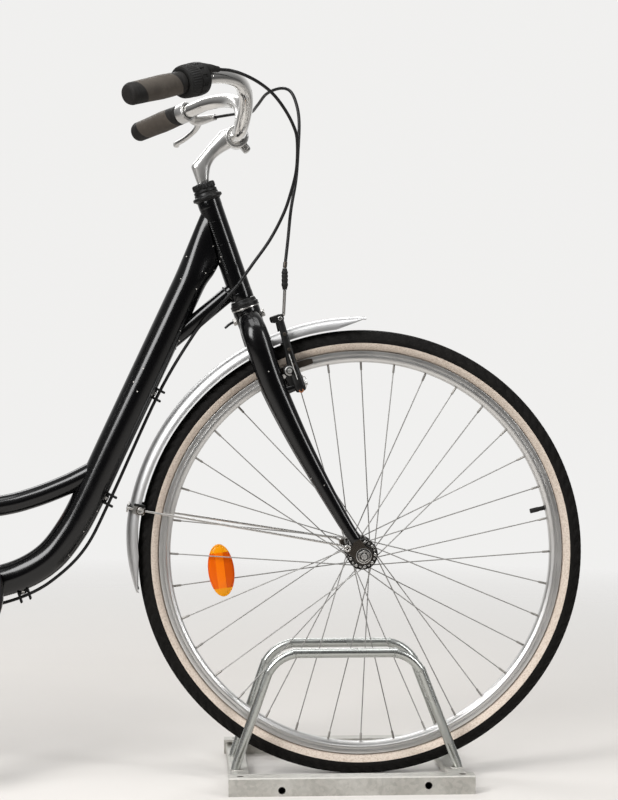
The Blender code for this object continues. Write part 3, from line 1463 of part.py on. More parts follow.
def build_bicycle():
    front_wheel = build_wheel("front", front_axle, front_hub_radius, front_flange_radius,
                              front_flange_spread,
                              front_crossing)
    rear_wheel = build_wheel("rear", rear_axle, rear_hub_radius, rear_flange_radius, rear_flange_spread,
                             rear_crossing)
    rear_wheel.append(build_sprocket())
    build_fork()
    lower_cup, upper_cup, locknut = build_headset()
    build_stem()
    build_bar()
    build_grip("grip_left", 1)
    build_grip("grip_right", -1)
    build_shifter()
    build_lever()
    build_brake("right", -1)
    build_brake("left", 1)
    build_noodle()
    cable("brake_cable", brake_cable_route)
    cable("shift_cable_front", shift_cable_front_route)
    axle_with_nuts("front_axle", front_axle, front_hub_width)
    build_front_mudguard()
    wheel_stays("front_stays", front_axle, front_hub_width, front_eyelet_angle, front_stay_angle)
    build_stand_base()
    build_hoop("stand_hoop_right", -1)
    build_hoop("stand_hoop_left", 1)

    rear_guard = paint(arc_guard("rear_mudguard", rear_axle, rear_guard_start, rear_guard_end, 24),
                       *bare_alloy)
    frame_pieces = [build_frame(), lower_cup, upper_cup, build_seat_post(), build_seat_clamp(),
                    build_saddle(),
                    build_saddle_frame(), build_chain(), build_chain_guard(), build_carrier(), build_tail_lamp(),
                    rear_guard, cable("shift_cable_frame", shift_cable_frame_route),
                    axle_with_nuts("rear_axle", rear_axle,
                                   rear_hub_width), build_coaster_arm(), build_shift_joint(),
                    wheel_stays("rear_stays_upper", rear_axle, rear_hub_width, rear_tabs[1],
                                rear_stay_angles[0]),
                    wheel_stays("rear_stays_lower", rear_axle, rear_hub_width, rear_tabs[2],
                                rear_stay_angles[1])]
    right_angle = crank_rest_angle
    left_angle = crank_rest_angle + pi
    crank_pieces = [build_spindle(), build_chainring(), crank_arm("crank_right", -1, right_angle),
                    crank_arm("crank_left", 1, left_angle)]

    steering = empty_at("steering_axis", steer_point(head_bottom))
    carry(steering, frame_pieces)
    carry(empty_at("front_wheel_axis", front_axle), front_wheel)
    carry(empty_at("rear_wheel_axis", rear_axle, steering), rear_wheel)
    crank_axis = empty_at("crank_axis", crank_axle, steering)
    carry(crank_axis, crank_pieces)
    for name, side, angle in (("right", -1, right_angle), ("left", 1, left_angle)):
        pedal = build_pedal("pedal_" + name + "_body", side, angle)
        carry(empty_at("pedal_" + name + "_axis", pedal_middle(side, angle), crank_axis), [pedal])
    carry(empty_at("side_stand_axis", side_stand_pivot(), steering), [build_side_stand()])


build_bicycle()
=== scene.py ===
from math import acos, atan2, cos, hypot, pi, radians, sin, sqrt, tan

import bmesh
import bpy
import numpy as np
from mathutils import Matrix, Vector


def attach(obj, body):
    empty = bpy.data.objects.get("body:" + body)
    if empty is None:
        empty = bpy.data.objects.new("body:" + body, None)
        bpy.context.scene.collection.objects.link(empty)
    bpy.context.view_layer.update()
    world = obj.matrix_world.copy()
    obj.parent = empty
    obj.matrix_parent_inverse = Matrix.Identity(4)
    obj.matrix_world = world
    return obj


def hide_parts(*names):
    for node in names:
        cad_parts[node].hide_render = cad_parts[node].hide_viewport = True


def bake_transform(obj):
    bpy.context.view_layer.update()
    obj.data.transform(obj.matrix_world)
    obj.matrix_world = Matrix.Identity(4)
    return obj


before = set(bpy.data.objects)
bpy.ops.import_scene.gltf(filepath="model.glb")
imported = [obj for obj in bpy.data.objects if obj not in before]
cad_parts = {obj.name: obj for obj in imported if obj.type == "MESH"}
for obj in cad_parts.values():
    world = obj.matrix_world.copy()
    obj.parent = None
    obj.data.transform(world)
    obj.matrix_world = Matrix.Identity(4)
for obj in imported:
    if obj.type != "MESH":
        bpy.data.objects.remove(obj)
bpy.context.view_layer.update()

print("frame loaded")

# every shape is worked out in millimetres from the floor under the middle; piece() turns it into metres
bike = dict(frontAxle=(572, 0, 349), rearAxle=(-548, 0, 349), crankAxle=(-73, 0, 292), headAngle=71, seatAngle=70,
            offset=46, forkLength=422, headBottom=435.6, headTop=597.6, steererTop=626.5, gap=0.3)
view = dict(place=(0.2863, -3.5, 0.7151), target=(0.4905, 0, 0.5885), lens=130.5, sensor=36)
studio = dict(floor=(0.66, 0.635, 0.605), wall=(0.875, 0.87, 0.86), low=(0.07, 0.068, 0.066),
              high=(0.62, 0.62, 0.62), world=0.62)


# unit vector in the side view, its angle counted from straight ahead
def heading(angle):
    return np.array((cos(angle), 0, sin(angle)))


frontAxle, rearAxle, crankAxle = (np.array(bike[word + "Axle"], float) for word in ("front", "rear", "crank"))
steerUp, seatUp = (heading(radians(180 - bike[word])) for word in ("headAngle", "seatAngle"))
steerForward = heading(radians(90 - bike["headAngle"]))
left, up = np.array((0.0, 1, 0)), np.array((0.0, 0, 1))


def steerPoint(along, ahead=0, side=0):
    return frontAxle + steerUp * along + steerForward * (ahead - bike["offset"]) + left * side


def seatPoint(along):
    return crankAxle + seatUp * along


def around(axle, radius, angle, side=0):
    return axle + heading(angle) * radius + left * side


def unit(v):
    return v / np.linalg.norm(v, axis=-1, keepdims=True)


# distance run along a line up to each of its points
def runLength(line):
    return np.concatenate([[0], np.cumsum(np.linalg.norm(np.diff(line, axis=0), axis=1))])


# points (radius · cos, radius · sin) of a flat outline
def polar(radius, turn):
    return np.column_stack([radius * np.cos(turn), radius * np.sin(turn)])


def pairs(numbers):
    return np.reshape(np.asarray(numbers, float), (-1, 2))


# a half profile and its mirror image below
def mirrored(half, last=-2):
    return np.vstack([half, half[last::-1] * (1, -1)])


# |x|^p with the sign of x
def signed(x, p):
    return np.sign(x) * np.abs(x) ** p


# quads between neighbouring grid points; u runs along the columns and v along the rows
def sheet(points, u=None, v=None, slot=0):
    rows, cols = points.shape[:2]
    u = np.linspace(0, 1, cols) if u is None else u
    v = np.linspace(0, 1, rows) if v is None else v
    uv = np.stack(np.broadcast_arrays(u, v[:, None] if v.ndim == 1 else v), -1).reshape(-1, 2)
    index = np.arange(rows * cols).reshape(rows, cols)
    faces = np.stack([index[:-1, :-1], index[:-1, 1:], index[1:, 1:], index[1:, :-1]], -1).reshape(-1, 4)
    flat = points.reshape(-1, 3)
    a, b, c, d = (flat[faces[:, k]] for k in range(4))
    if (a * (np.cross(b, c) + np.cross(c, d))).sum() < 0:
        faces = faces[:, ::-1]
    return [(flat, faces, uv[faces], slot)]


# Catmull-Rom curve through the rows of an array, any number of columns
def smoothLine(points, steps):
    points = np.asarray(points, float)
    if steps <= 1:
        return points
    padded = np.vstack([2 * points[0] - points[1], points, 2 * points[-1] - points[-2]])
    t = np.linspace(0, 1, steps, endpoint=False)[None, :, None]
    p0, p1, p2, p3 = (padded[k:len(padded) - 3 + k][:, None, :] for k in range(4))
    curve = 0.5 * (2 * p1 + (p2 - p0) * t + (2 * p0 - 5 * p1 + 4 * p2 - p3) * t ** 2
                   + (3 * p1 - p0 - 3 * p2 + p3) * t ** 3)
    return np.vstack([curve.reshape(-1, points.shape[1]), points[-1]])


# a round or oval section carried along a smooth path: centre + r(cos a · flat · side + sin a · normal)
def tube(points, radius, sides=20, steps=8, flat=1.0, ref=None, slot=0, bevel=0.6, section=None):
    points = np.asarray(points, float)
    radii = np.broadcast_to(np.asarray(radius, float), (len(points),))
    line = smoothLine(np.column_stack([points, radii]), steps)
    path, r = line[:, :3], np.abs(line[:, 3])
    tangent = unit(np.gradient(path, axis=0))
    if ref is None:
        ref = left if abs(tangent @ left).mean() < 0.75 else up
    side = unit(ref - (tangent @ ref)[:, None] * tangent)
    ends = lambda rows: np.vstack([rows[:1], rows[:1], rows, rows[-1:], rows[-1:]])
    path, side, normal = ends(path), ends(side), ends(np.cross(tangent, side))
    bevel = min(bevel, 0.4 * r.min())
    path[2] += tangent[0] * bevel
    path[-3] -= tangent[-1] * bevel
    r = np.concatenate([[0, r[0] - bevel], r, [r[-1] - bevel, 0]])
    turn = np.linspace(0, 2 * pi, sides + 1)
    across, upward = (np.cos(turn) * flat, np.sin(turn)) if section is None else section(turn)
    ring = across[:, None] * side[:, None] + upward[:, None] * normal[:, None]
    return sheet(path[:, None] + r[:, None, None] * ring, None, runLength(path) / 1000, slot)


# rings between two edges drawn in side view: middle + cos a · half the gap + sin a · width · left
def loft(back, front, width, power=2.0):
    middle, half = ((front + sign * back) / 2 for sign in (1, -1))
    middle, half = (np.column_stack([e[:, 0], 0 * e[:, 0], e[:, 1]]) for e in (middle, half))
    turn = np.linspace(0, 2 * pi, 49)
    c, s = (signed(f, 2 / power)[None, :, None] for f in (np.cos(turn), np.sin(turn)))
    grid = middle[:, None] + c * half[:, None] + s * width[:, None, None] * left
    ends = [np.broadcast_to(middle[k], (1, 49, 3)) for k in (0, -1)]
    length = np.concatenate([[0], runLength(middle), runLength(middle)[-1:]]) / 1000
    return sheet(np.concatenate([ends[0], grid, ends[1]]), None, length)


# cuts each corner of a profile with a three-point quadratic curve
def rounded(profile, size=0.8, closed=False):
    p = np.asarray(profile, float)
    toB, toA = np.roll(p, 1, axis=0) - p, np.roll(p, -1, axis=0) - p
    lenB, lenA = (np.maximum(np.linalg.norm(d, axis=1, keepdims=True), 1e-6) for d in (toB, toA))
    cut = np.minimum(size, 0.45 * np.minimum(lenB, lenA))
    q0, q2 = p + toB / lenB * cut, p + toA / lenA * cut
    trio = np.stack([q0, 0.25 * q0 + 0.5 * p + 0.25 * q2, q2], 1)
    if closed:
        out = trio.reshape(-1, p.shape[1])
        return np.vstack([out, out[:1]])
    return np.vstack([p[:1], trio[1:-1].reshape(-1, p.shape[1]), p[-1:]])


# a profile (radius, height, radius, height ...) turned about an axis; wave may change the radius
def lathe(profile, origin, axis, sides=48, slot=0, size=0.8, closed=False, wave=None, ref=None):
    p = rounded(pairs(profile), size, closed) if size else pairs(profile)
    axis = unit(axis)
    ref = ref if ref is not None else (up if abs(axis @ up) < 0.7 else np.array((1.0, 0, 0)))
    side = unit(ref - (axis @ ref) * axis)
    turn = np.linspace(0, 2 * pi, sides + 1)
    r = np.broadcast_to(p[:, :1], (len(p), sides + 1))
    if wave is not None:
        r = r + wave(turn[None], p[:, :1], p[:, 1:2])
    ring = np.cos(turn)[:, None] * side + np.sin(turn)[:, None] * np.cross(axis, side)
    grid = origin + r[..., None] * ring + p[:, 1][:, None, None] * axis
    return sheet(grid, None, runLength(p) / 1000, slot)


# a round wire bent to a ring
def ringTube(centre, axis, radius, wire, sides=40, slot=0, thick=10):
    return lathe(polar(wire, np.linspace(0, 2 * pi, thick + 1)) + (radius, 0), centre, axis, sides, slot, 0)


def flatFrame(origin, across=(1, 0, 0), upwards=(0, 0, 1)):
    across, upwards = unit(across), unit(upwards)
    return origin, across, upwards, np.cross(across, upwards)


# a plate: rings of its outline shrunk towards the middle, or towards an inner outline, on both faces
def slab(outline, thickness, place, slot=0, bevel=0.6, inner=None):
    origin, ax, ay, az = place
    outline = np.vstack([outline, outline[:1]])
    inside = np.broadcast_to(outline[:-1].mean(axis=0), outline.shape) if inner is None \
        else np.vstack([inner, inner[:1]])
    reach = np.maximum(np.linalg.norm(outline - inside, axis=1, keepdims=True), 1e-3)
    drawn = outline + (inside - outline) * np.minimum(bevel / reach, 0.4)
    half = thickness / 2
    rings = [(inside, half), (drawn, half), (outline, half - bevel),
             (outline, bevel - half), (drawn, -half), (inside, -half)] + ([] if inner is None else [(inside, half)])
    return sheet(np.stack([origin + r[:, :1] * ax + r[:, 1:] * ay + h * az for r, h in rings]), None, None, slot)


# outline of a rectangle with round corners, centred
def roundRect(width, height, corner, steps=5):
    arc, middles = np.linspace(0, pi / 2, steps), ((1, 1), (-1, 1), (-1, -1), (1, -1))
    return np.vstack([polar(corner, arc + k * pi / 2) + (sx * (width / 2 - corner), sy * (height / 2 - corner))
                      for k, (sx, sy) in enumerate(middles)])


# a block: rounded rectangle of the first two sizes, as thick as the third
def box(centre, size, across=(1, 0, 0), upwards=(0, 0, 1), slot=0, corner=2, bevel=0.8):
    outline = roundRect(size[0], size[1], min(corner, 0.45 * min(size[:2])), 4)
    return slab(outline, size[2], flatFrame(centre, across, upwards), slot, bevel)


# a screw head, with a hexagon socket or domed
def bolt(place, direction, r=4, h=3, slot=0, socket=True):
    head = [0, h * 0.45, r * 0.5, h * 0.45, r * 0.52, h, r * 0.88, h, r, h * 0.8] if socket \
        else [0, h, r * 0.6, h * 0.92, r * 0.92, h * 0.6, r, 0]
    return lathe(head + [r, -1, 0, -1], place, direction, 24, slot, 0.3)


# how far a circle shrinks to give a regular hexagon
def hexagon(turn):
    return cos(pi / 6) / np.cos(turn % (pi / 3) - pi / 6) - 1


def hexNut(place, direction, r, h, slot=0):
    return lathe([0, h, r * 0.85, h, r, h * 0.85, r, 0, 0, 0], place, direction, 36, slot, 0,
                 wave=lambda turn, wide, high: wide * hexagon(turn + pi / 6) * 0.999)


# joins sheets into one object, closes seams and poles, gives it its finishes and its body; a piece such as
# seatPost replaces the node seat_post unless another is named
def piece(name, shapes, finishes, body, sharp=38, node=None):
    starts = np.cumsum([0] + [len(shape[0]) for shape in shapes])
    mesh = bpy.data.meshes.new(name)
    mesh.from_pydata((np.vstack([shape[0] for shape in shapes]) / 1000).tolist(), [],
                     np.vstack([shape[1] + start for shape, start in zip(shapes, starts)]).tolist())
    mesh.uv_layers.new(name="surface").data.foreach_set("uv", np.concatenate([s[2].ravel() for s in shapes]))
    mesh.polygons.foreach_set("material_index", np.concatenate([np.full(len(s[1]), s[3]) for s in shapes]))
    closing = bmesh.new()
    closing.from_mesh(mesh)
    bmesh.ops.remove_doubles(closing, verts=closing.verts, dist=1e-7)
    closing.to_mesh(mesh)
    closing.free()
    thing = bpy.data.objects.new(name, mesh)
    bpy.context.scene.collection.objects.link(thing)
    for made in finishes if isinstance(finishes, list) else [finishes]:
        mesh.materials.append(made)
    mesh.shade_smooth()
    mesh.set_sharp_from_angle(angle=radians(sharp))
    if body:
        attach(thing, body)
    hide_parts(node or "".join("_" + c.lower() if c.isupper() else c for c in name))
    return thing


# adds nodes to one tree; a material's tree also knows its shader
class Nodes:
    def __init__(self, tree, made=None):
        self.tree, self.made = tree, made

    def link(self, value, socket):
        if isinstance(value, bpy.types.NodeSocket):
            self.tree.links.new(value, socket)
        else:
            socket.default_value = value

    def add(self, kind, ins=(), **props):
        made = self.tree.nodes.new("ShaderNode" + kind)
        for key, value in props.items():
            setattr(made, key, value)
        for key, value in dict(ins).items():
            self.link(value, made.inputs[key])
        return made

    def use(self, which, *values):
        made = self.add("Group", node_tree=which)
        for socket, value in zip(made.inputs, values):
            socket.default_value = value
        return made.outputs[0]

    def math(self, how, a, b=0.0, c=0.0):
        return self.add("Math", {0: a, 1: b, 2: c}, operation=how).outputs[0]

    def times(self, a, b):
        return self.math("MULTIPLY", a, b)

    def plus(self, a, b):
        return self.math("ADD", a, b)

    def scaled(self, a, by, start):
        return self.math("MULTIPLY_ADD", a, by, start)

    def larger(self, a, b):
        return self.math("MAXIMUM", a, b)

    def away(self, a, b):
        return self.math("ABSOLUTE", self.math("SUBTRACT", a, b))

    def remap(self, value, low, high, outLow=0.0, outHigh=1.0):
        return self.add("MapRange", {0: value, 1: low, 2: high, 3: outLow, 4: outHigh}).outputs[0]

    def blend(self, amount, a, b):
        a, b = ((*c, 1) if isinstance(c, tuple) else c for c in (a, b))
        return self.add("Mix", {0: amount, 6: a, 7: b}, data_type="RGBA").outputs[2]

    def coords(self, which="Object"):
        return self.add("TexCoord").outputs[which]

    def noise(self, scale, detail=4.0, rough=0.55, vector=None):
        return self.add("TexNoise", {"Vector": vector or self.coords(), "Scale": scale, "Detail": detail,
                                     "Roughness": rough}).outputs[0]

    def cells(self, scale, random=1.0, output="Distance", **props):
        return self.add("TexVoronoi", {"Vector": self.coords(), "Scale": scale, "Randomness": random},
                        **props).outputs[output]

    # the varying colour and roughness, the bump with its strength and depth in metres, and the metal
    def dress(self, colour, rough, height, strength, depth, metal=None):
        shader = self.tree.nodes["Principled BSDF"].inputs
        bump = self.add("Bump", {"Height": height, "Strength": strength, "Distance": depth}).outputs[0]
        for key, value in (("Base Color", colour), ("Roughness", rough), ("Normal", bump), ("Metallic", metal)):
            if value is not None:
                self.link(value, shader[key])
        return self.made


# a node group with named float inputs and one output; build gives the value of that output
def group(name, output, build, **ins):
    tree = bpy.data.node_groups.new(name, "ShaderNodeTree")
    for label, value in ins.items():
        tree.interface.new_socket(label, in_out="INPUT", socket_type="NodeSocketFloat").default_value = value
    tree.interface.new_socket(output, in_out="OUTPUT", socket_type="NodeSocketFloat")
    entry, leave = tree.nodes.new("NodeGroupInput"), tree.nodes.new("NodeGroupOutput")
    tree.links.new(build(Nodes(tree), *list(entry.outputs)[:len(ins)]), leave.inputs[0])
    return tree


# soft blotches: two sizes of noise, stretched to the range low to high
def buildCloud(t, scale, low, high):
    return t.remap(t.plus(t.times(t.noise(scale), 0.7), t.times(t.noise(t.times(scale, 5.3)), 0.3)), low, high)


# small spots where a cell's middle is near and a wide noise lets spots through
def buildChips(t, scale, size, cover, ragged):
    edge = t.plus(t.cells(scale), t.times(t.noise(420.0, 3.0), ragged))
    allow = t.remap(t.noise(9.0, 3.0), cover, t.plus(cover, 0.04))
    return t.times(t.remap(edge, size, t.plus(size, 0.03), 1.0, 0.0), allow)


# fine even grain for moulded, cast and painted skins
def buildGrain(t, scale):
    return t.noise(scale, 3.0, 0.6)


# hair lines: noise pressed thin along one direction of the piece's own UV
def buildBrush(t, aroundScale, alongScale):
    scale = t.add("CombineXYZ", {0: aroundScale, 1: alongScale, 2: 1.0}).outputs[0]
    where = t.add("VectorMath", {0: t.coords("UV"), 1: scale}, operation="MULTIPLY").outputs[0]
    return t.noise(1.0, 5.0, 0.7, where)


cloud = group("softCloud", "Mask", buildCloud, Scale=8.0, Low=0.35, High=0.7)
chips = group("paintChips", "Mask", buildChips, Scale=120.0, Size=0.1, Cover=0.55, Ragged=0.2)
grain = group("fineGrain", "Height", buildGrain, Scale=900.0)
brush = group("hairLines", "Height", buildBrush, Around=400.0, Along=40.0)


# a material with its plain settings; the detail is added with dress()
def finish(name, colour, rough, metal=0.0, **sockets):
    made = bpy.data.materials.new(name)
    made.use_nodes = True
    t = Nodes(made.node_tree, made)
    plain = {"Base Color": (*colour, 1), "Roughness": rough, "Metallic": metal}
    plain.update((key.replace("_", " "), value) for key, value in sockets.items())
    for key, value in plain.items():
        t.link(value, made.node_tree.nodes["Principled BSDF"].inputs[key])
    return t


# glossy black enamel: soft waviness, fine dust, scattered chips down to pale primer
def blackPaint():
    black = (0.0016, 0.0016, 0.0019)
    t = finish("blackPaint", black, 0.17, Specular_IOR_Level=0.44)
    spots = t.larger(t.use(chips, 70.0, 0.085, 0.50, 0.05), t.use(chips, 44.0, 0.13, 0.585, 0.30))
    dust = t.use(cloud, 26.0, 0.52, 0.95)
    base = t.blend(t.times(dust, 0.02), black, (0.09, 0.08, 0.07))
    return t.dress(t.blend(spots, base, (0.62, 0.60, 0.56)), t.plus(t.scaled(spots, 0.5, 0.17), t.times(dust, 0.10)),
                   t.math("SUBTRACT", t.times(t.noise(60.0, 2.0), 0.3), spots), 0.12, 0.0004)


# moulded plastic or rubber: fine grain, paler rubbed and dusty blotches
def plastic(name, colour, rough, dusty, grainScale=1400.0, strength=0.25):
    t = finish(name, colour, rough, Specular_IOR_Level=0.27)
    dust = t.use(cloud, 22.0, 0.42, 0.85)
    return t.dress(t.blend(t.times(dust, dusty), colour, (0.16, 0.15, 0.135)), t.scaled(dust, 0.22, rough),
                   t.use(grain, grainScale), strength, 0.0002)


# satin or polished metal: hair lines, dull clouds, small dark pits
def alloy(name, colour, rough, lines, lineDepth, dirt, dirtColour=(0.10, 0.085, 0.07), metal=1.0):
    t = finish(name, colour, rough, metal)
    hair, dull, pits = t.use(brush, *lines), t.use(cloud, 14.0, 0.4, 0.8), t.use(chips, 260.0, 0.06, 0.56, 0.15)
    stain = t.times(t.larger(pits, t.times(dull, 0.35)), dirt)
    return t.dress(t.blend(stain, colour, dirtColour), t.plus(t.scaled(dull, 0.16, rough), t.times(hair, 0.08)),
                   t.math("SUBTRACT", hair, t.times(pits, 2.0)), lineDepth, 0.00015, t.scaled(pits, -0.6, metal))


# galvanised steel: grey-green spangle, white bloom, rust specks
def zinc():
    t = finish("galvanised", (0.40, 0.42, 0.40), 0.45, 0.75)
    tone = t.add("SeparateColor", {0: t.cells(210.0, output="Color")}).outputs[0]
    bloom, specks = t.use(cloud, 17.0, 0.4, 0.75), t.use(chips, 70.0, 0.08, 0.55, 0.3)
    base = t.blend(tone, (0.41, 0.405, 0.375), (0.52, 0.505, 0.47))
    base = t.blend(t.times(bloom, 0.45), base, (0.60, 0.58, 0.54))
    return t.dress(t.blend(specks, base, (0.22, 0.10, 0.045)), t.scaled(tone, 0.18, t.scaled(bloom, 0.2, 0.34)),
                   t.plus(tone, bloom), 0.12, 0.0003, t.scaled(t.larger(bloom, specks), -0.55, 0.8))


# the tyre's cream wall: speckle, fine cross threads, road dirt towards the tread
def wall():
    t = finish("tyreWall", (0.66, 0.56, 0.47), 0.75, Specular_IOR_Level=0.3)
    speck, dirt = t.remap(t.noise(380.0, 3.0, 0.7), 0.47, 0.62), t.use(cloud, 30.0, 0.4, 0.8)
    base = t.blend(t.times(dirt, 0.30), (0.66, 0.575, 0.495), (0.45, 0.355, 0.275))
    return t.dress(t.blend(t.times(speck, 0.60), base, (0.40, 0.31, 0.245)), t.scaled(dirt, 0.15, 0.68),
                   t.plus(t.use(grain, 1500.0), t.use(brush, 6.0, 2200.0)), 0.3, 0.0003)


# the tyre's black rubber: dusty, worn paler where it meets the road
def tread():
    black = (0.0035, 0.0032, 0.0030)
    t = finish("tyreTread", black, 0.78, Specular_IOR_Level=0.10)
    dust, speck = t.use(cloud, 40.0, 0.35, 0.8), t.remap(t.noise(300.0, 3.0, 0.7), 0.50, 0.64)
    return t.dress(t.blend(t.times(t.larger(speck, dust), 0.075), black, (0.11, 0.10, 0.088)),
                   t.scaled(dust, 0.2, 0.62), t.use(grain, 1100.0), 0.5, 0.0005)


# prism plastic: small square pyramids, each painted brighter in its middle, a painted glow
def lens(name, colour, glow):
    t = finish(name, colour, 0.12, Coat_Weight=1.0, Coat_Roughness=0.04)
    tone = t.remap(t.cells(330.0, 0.12, distance="CHEBYCHEV"), 0.1, 0.65)
    grime = t.use(cloud, 60.0, 0.45, 0.9)
    # painted glow: the brighter colour fills each pyramid's middle
    return t.dress(t.blend(t.times(grime, 0.35), t.blend(tone, glow, colour), (0.07, 0.04, 0.02)),
                   t.scaled(grime, 0.25, 0.10), tone, 0.6, 0.0008)


# wheel reflector: three long strips and paler ends, cut by the piece's own UV, with small prisms under them; the bright
# middle strip is a painted highlight, the darker side strip painted shade, the paler ends painted glints and the
# prisms' darker edges painted shade
def amberLens():
    t = finish("amberLens", (0.85, 0.17, 0.004), 0.22, Coat_Weight=0.12, Coat_Roughness=0.05, Specular_IOR_Level=0.15)
    uv = t.add("SeparateXYZ", {0: t.coords("UV")}).outputs
    cell = t.cells(420.0, 0.1, distance="CHEBYCHEV")
    # painted highlight: the middle strip is brighter
    middle = t.remap(t.away(uv[1], 0.52), 0.155, 0.165, 1.0, 0.0)
    base = t.blend(middle, (0.76, 0.120, 0.002), (0.90, 0.190, 0.003))
    # painted shade: the strip along one side is darker
    base = t.blend(t.remap(uv[1], 0.355, 0.365, 1.0, 0.0), base, (0.56, 0.080, 0.002))
    # painted glints: both ends are paler
    base = t.blend(t.remap(t.away(uv[0], 0.5), 0.335, 0.345), base, (0.84, 0.35, 0.005))
    # painted shade: the small prisms darken towards their edges
    return t.dress(t.blend(t.times(t.remap(cell, 0.1, 0.6), 0.35), base, (0.55, 0.07, 0.002)),
                   t.scaled(t.use(cloud, 60.0, 0.45, 0.9), 0.25, 0.12), t.plus(cell, t.times(middle, 3.0)), 0.5, 0.0006)


# saddle cover: pebbled black skin, rubbed where it is sat on
def cover():
    t = finish("saddleCover", (0.018, 0.017, 0.016), 0.5)
    pebble, rub = t.cells(620.0), t.use(cloud, 9.0, 0.45, 0.8)
    return t.dress(t.blend(t.times(rub, 0.4), (0.016, 0.015, 0.015), (0.06, 0.054, 0.05)),
                   t.scaled(rub, -0.12, 0.52), t.plus(pebble, t.noise(40.0)), 0.35, 0.0006)


# black rubber with a taupe inlay: inside a rounded rectangle of the grip's own UV, u round it and v along it
def gripFinish():
    black = (0.008, 0.0072, 0.0065)
    t = finish("gripRubber", black, 0.62, Specular_IOR_Level=0.27)
    uv = t.add("SeparateXYZ", {0: t.coords("UV")}).outputs
    fromMiddle = t.math("SUBTRACT", uv[0], 0.5)
    acrossGap = t.math("SUBTRACT", t.times(t.math("ABSOLUTE", fromMiddle), 0.105), 0.0260)
    alongGap = t.math("SUBTRACT", t.away(uv[1], t.scaled(fromMiddle, 0.040, 0.0700)), 0.0200)
    squares = (t.math("POWER", t.larger(gap, 0.0), 2.0) for gap in (acrossGap, alongGap))
    corner = t.math("SQRT", t.plus(*squares))
    dust = t.use(cloud, 34.0, 0.4, 0.85)
    taupe = t.blend(dust, (0.058, 0.048, 0.039), (0.108, 0.093, 0.077))
    base = t.blend(t.times(dust, 0.4), black, (0.030, 0.026, 0.023))
    return t.dress(t.blend(t.remap(corner, 0.0150, 0.0157, 1.0, 0.0), base, taupe), t.scaled(dust, 0.15, 0.6),
                   t.plus(t.times(t.use(grain, 1300.0), 0.5), t.times(corner, 60.0)), 0.35, 0.0004)


paint = blackPaint()
blackPlastic = plastic("blackPlastic", (0.005, 0.005, 0.005), 0.36, 0.05)
blackRubber = plastic("blackRubber", (0.0055, 0.0053, 0.0050), 0.55, 0.07, 900.0, 0.35)
sleeve = plastic("cableSleeve", (0.007, 0.007, 0.0075), 0.34, 0.05, 1800.0)
# name, colour, roughness, hair lines round and along, their depth, dirt, dirt's colour, metal
chrome = alloy("chrome", (0.80, 0.79, 0.77), 0.06, (60.0, 20.0), 0.02, 0.25)
satin = alloy("satinAlloy", (0.66, 0.655, 0.64), 0.26, (220.0, 90.0), 0.10, 0.30)
brushed = alloy("brushedAlloy", (0.52, 0.52, 0.52), 0.34, (500.0, 6.0), 0.16, 0.45, (0.22, 0.20, 0.18))
rimAlloy = alloy("rimAlloy", (0.66, 0.655, 0.645), 0.27, (6.0, 900.0), 0.015, 0.28, (0.16, 0.14, 0.12))
steel = alloy("brightSteel", (0.56, 0.55, 0.53), 0.22, (120.0, 80.0), 0.06, 0.5, (0.16, 0.09, 0.05))
spokeSteel = alloy("spokeSteel", (0.30, 0.295, 0.285), 0.50, (20.0, 60.0), 0.05, 0.5, (0.10, 0.075, 0.055), 0.7)
nippleMetal = alloy("nippleMetal", (0.26, 0.25, 0.235), 0.42, (20.0, 60.0), 0.05, 0.6, (0.08, 0.06, 0.045), 0.8)
zincTube = alloy("zincTube", (0.50, 0.515, 0.495), 0.20, (26.0, 5.0), 0.10, 0.5, (0.17, 0.18, 0.16))
rust = alloy("rustySteel", (0.30, 0.11, 0.045), 0.62, (40.0, 80.0), 0.15, 0.6, (0.10, 0.04, 0.02), 0.3)
hubMetal = alloy("hubMetal", (0.016, 0.0145, 0.013), 0.26, (40.0, 160.0), 0.10, 0.5, (0.03, 0.02, 0.014), 0.35)
darkSteel = alloy("darkSteel", (0.085, 0.074, 0.064), 0.34, (40.0, 200.0), 0.12, 0.8, (0.06, 0.035, 0.02))
galvanised, tyreWall, tyreTread, gripMade = zinc(), wall(), tread(), gripFinish()
# the red lens's second colour is its painted glow
amber, redLens, saddleCover = amberLens(), lens("redLens", (0.40, 0.010, 0.008), (0.75, 0.04, 0.02)), cover()
print("materials made")

tyreSize = dict(radius=349, width=37, seat=316.8, black=-0.2, edge=0.16, knob=1.8, blocks=112, sides=672)


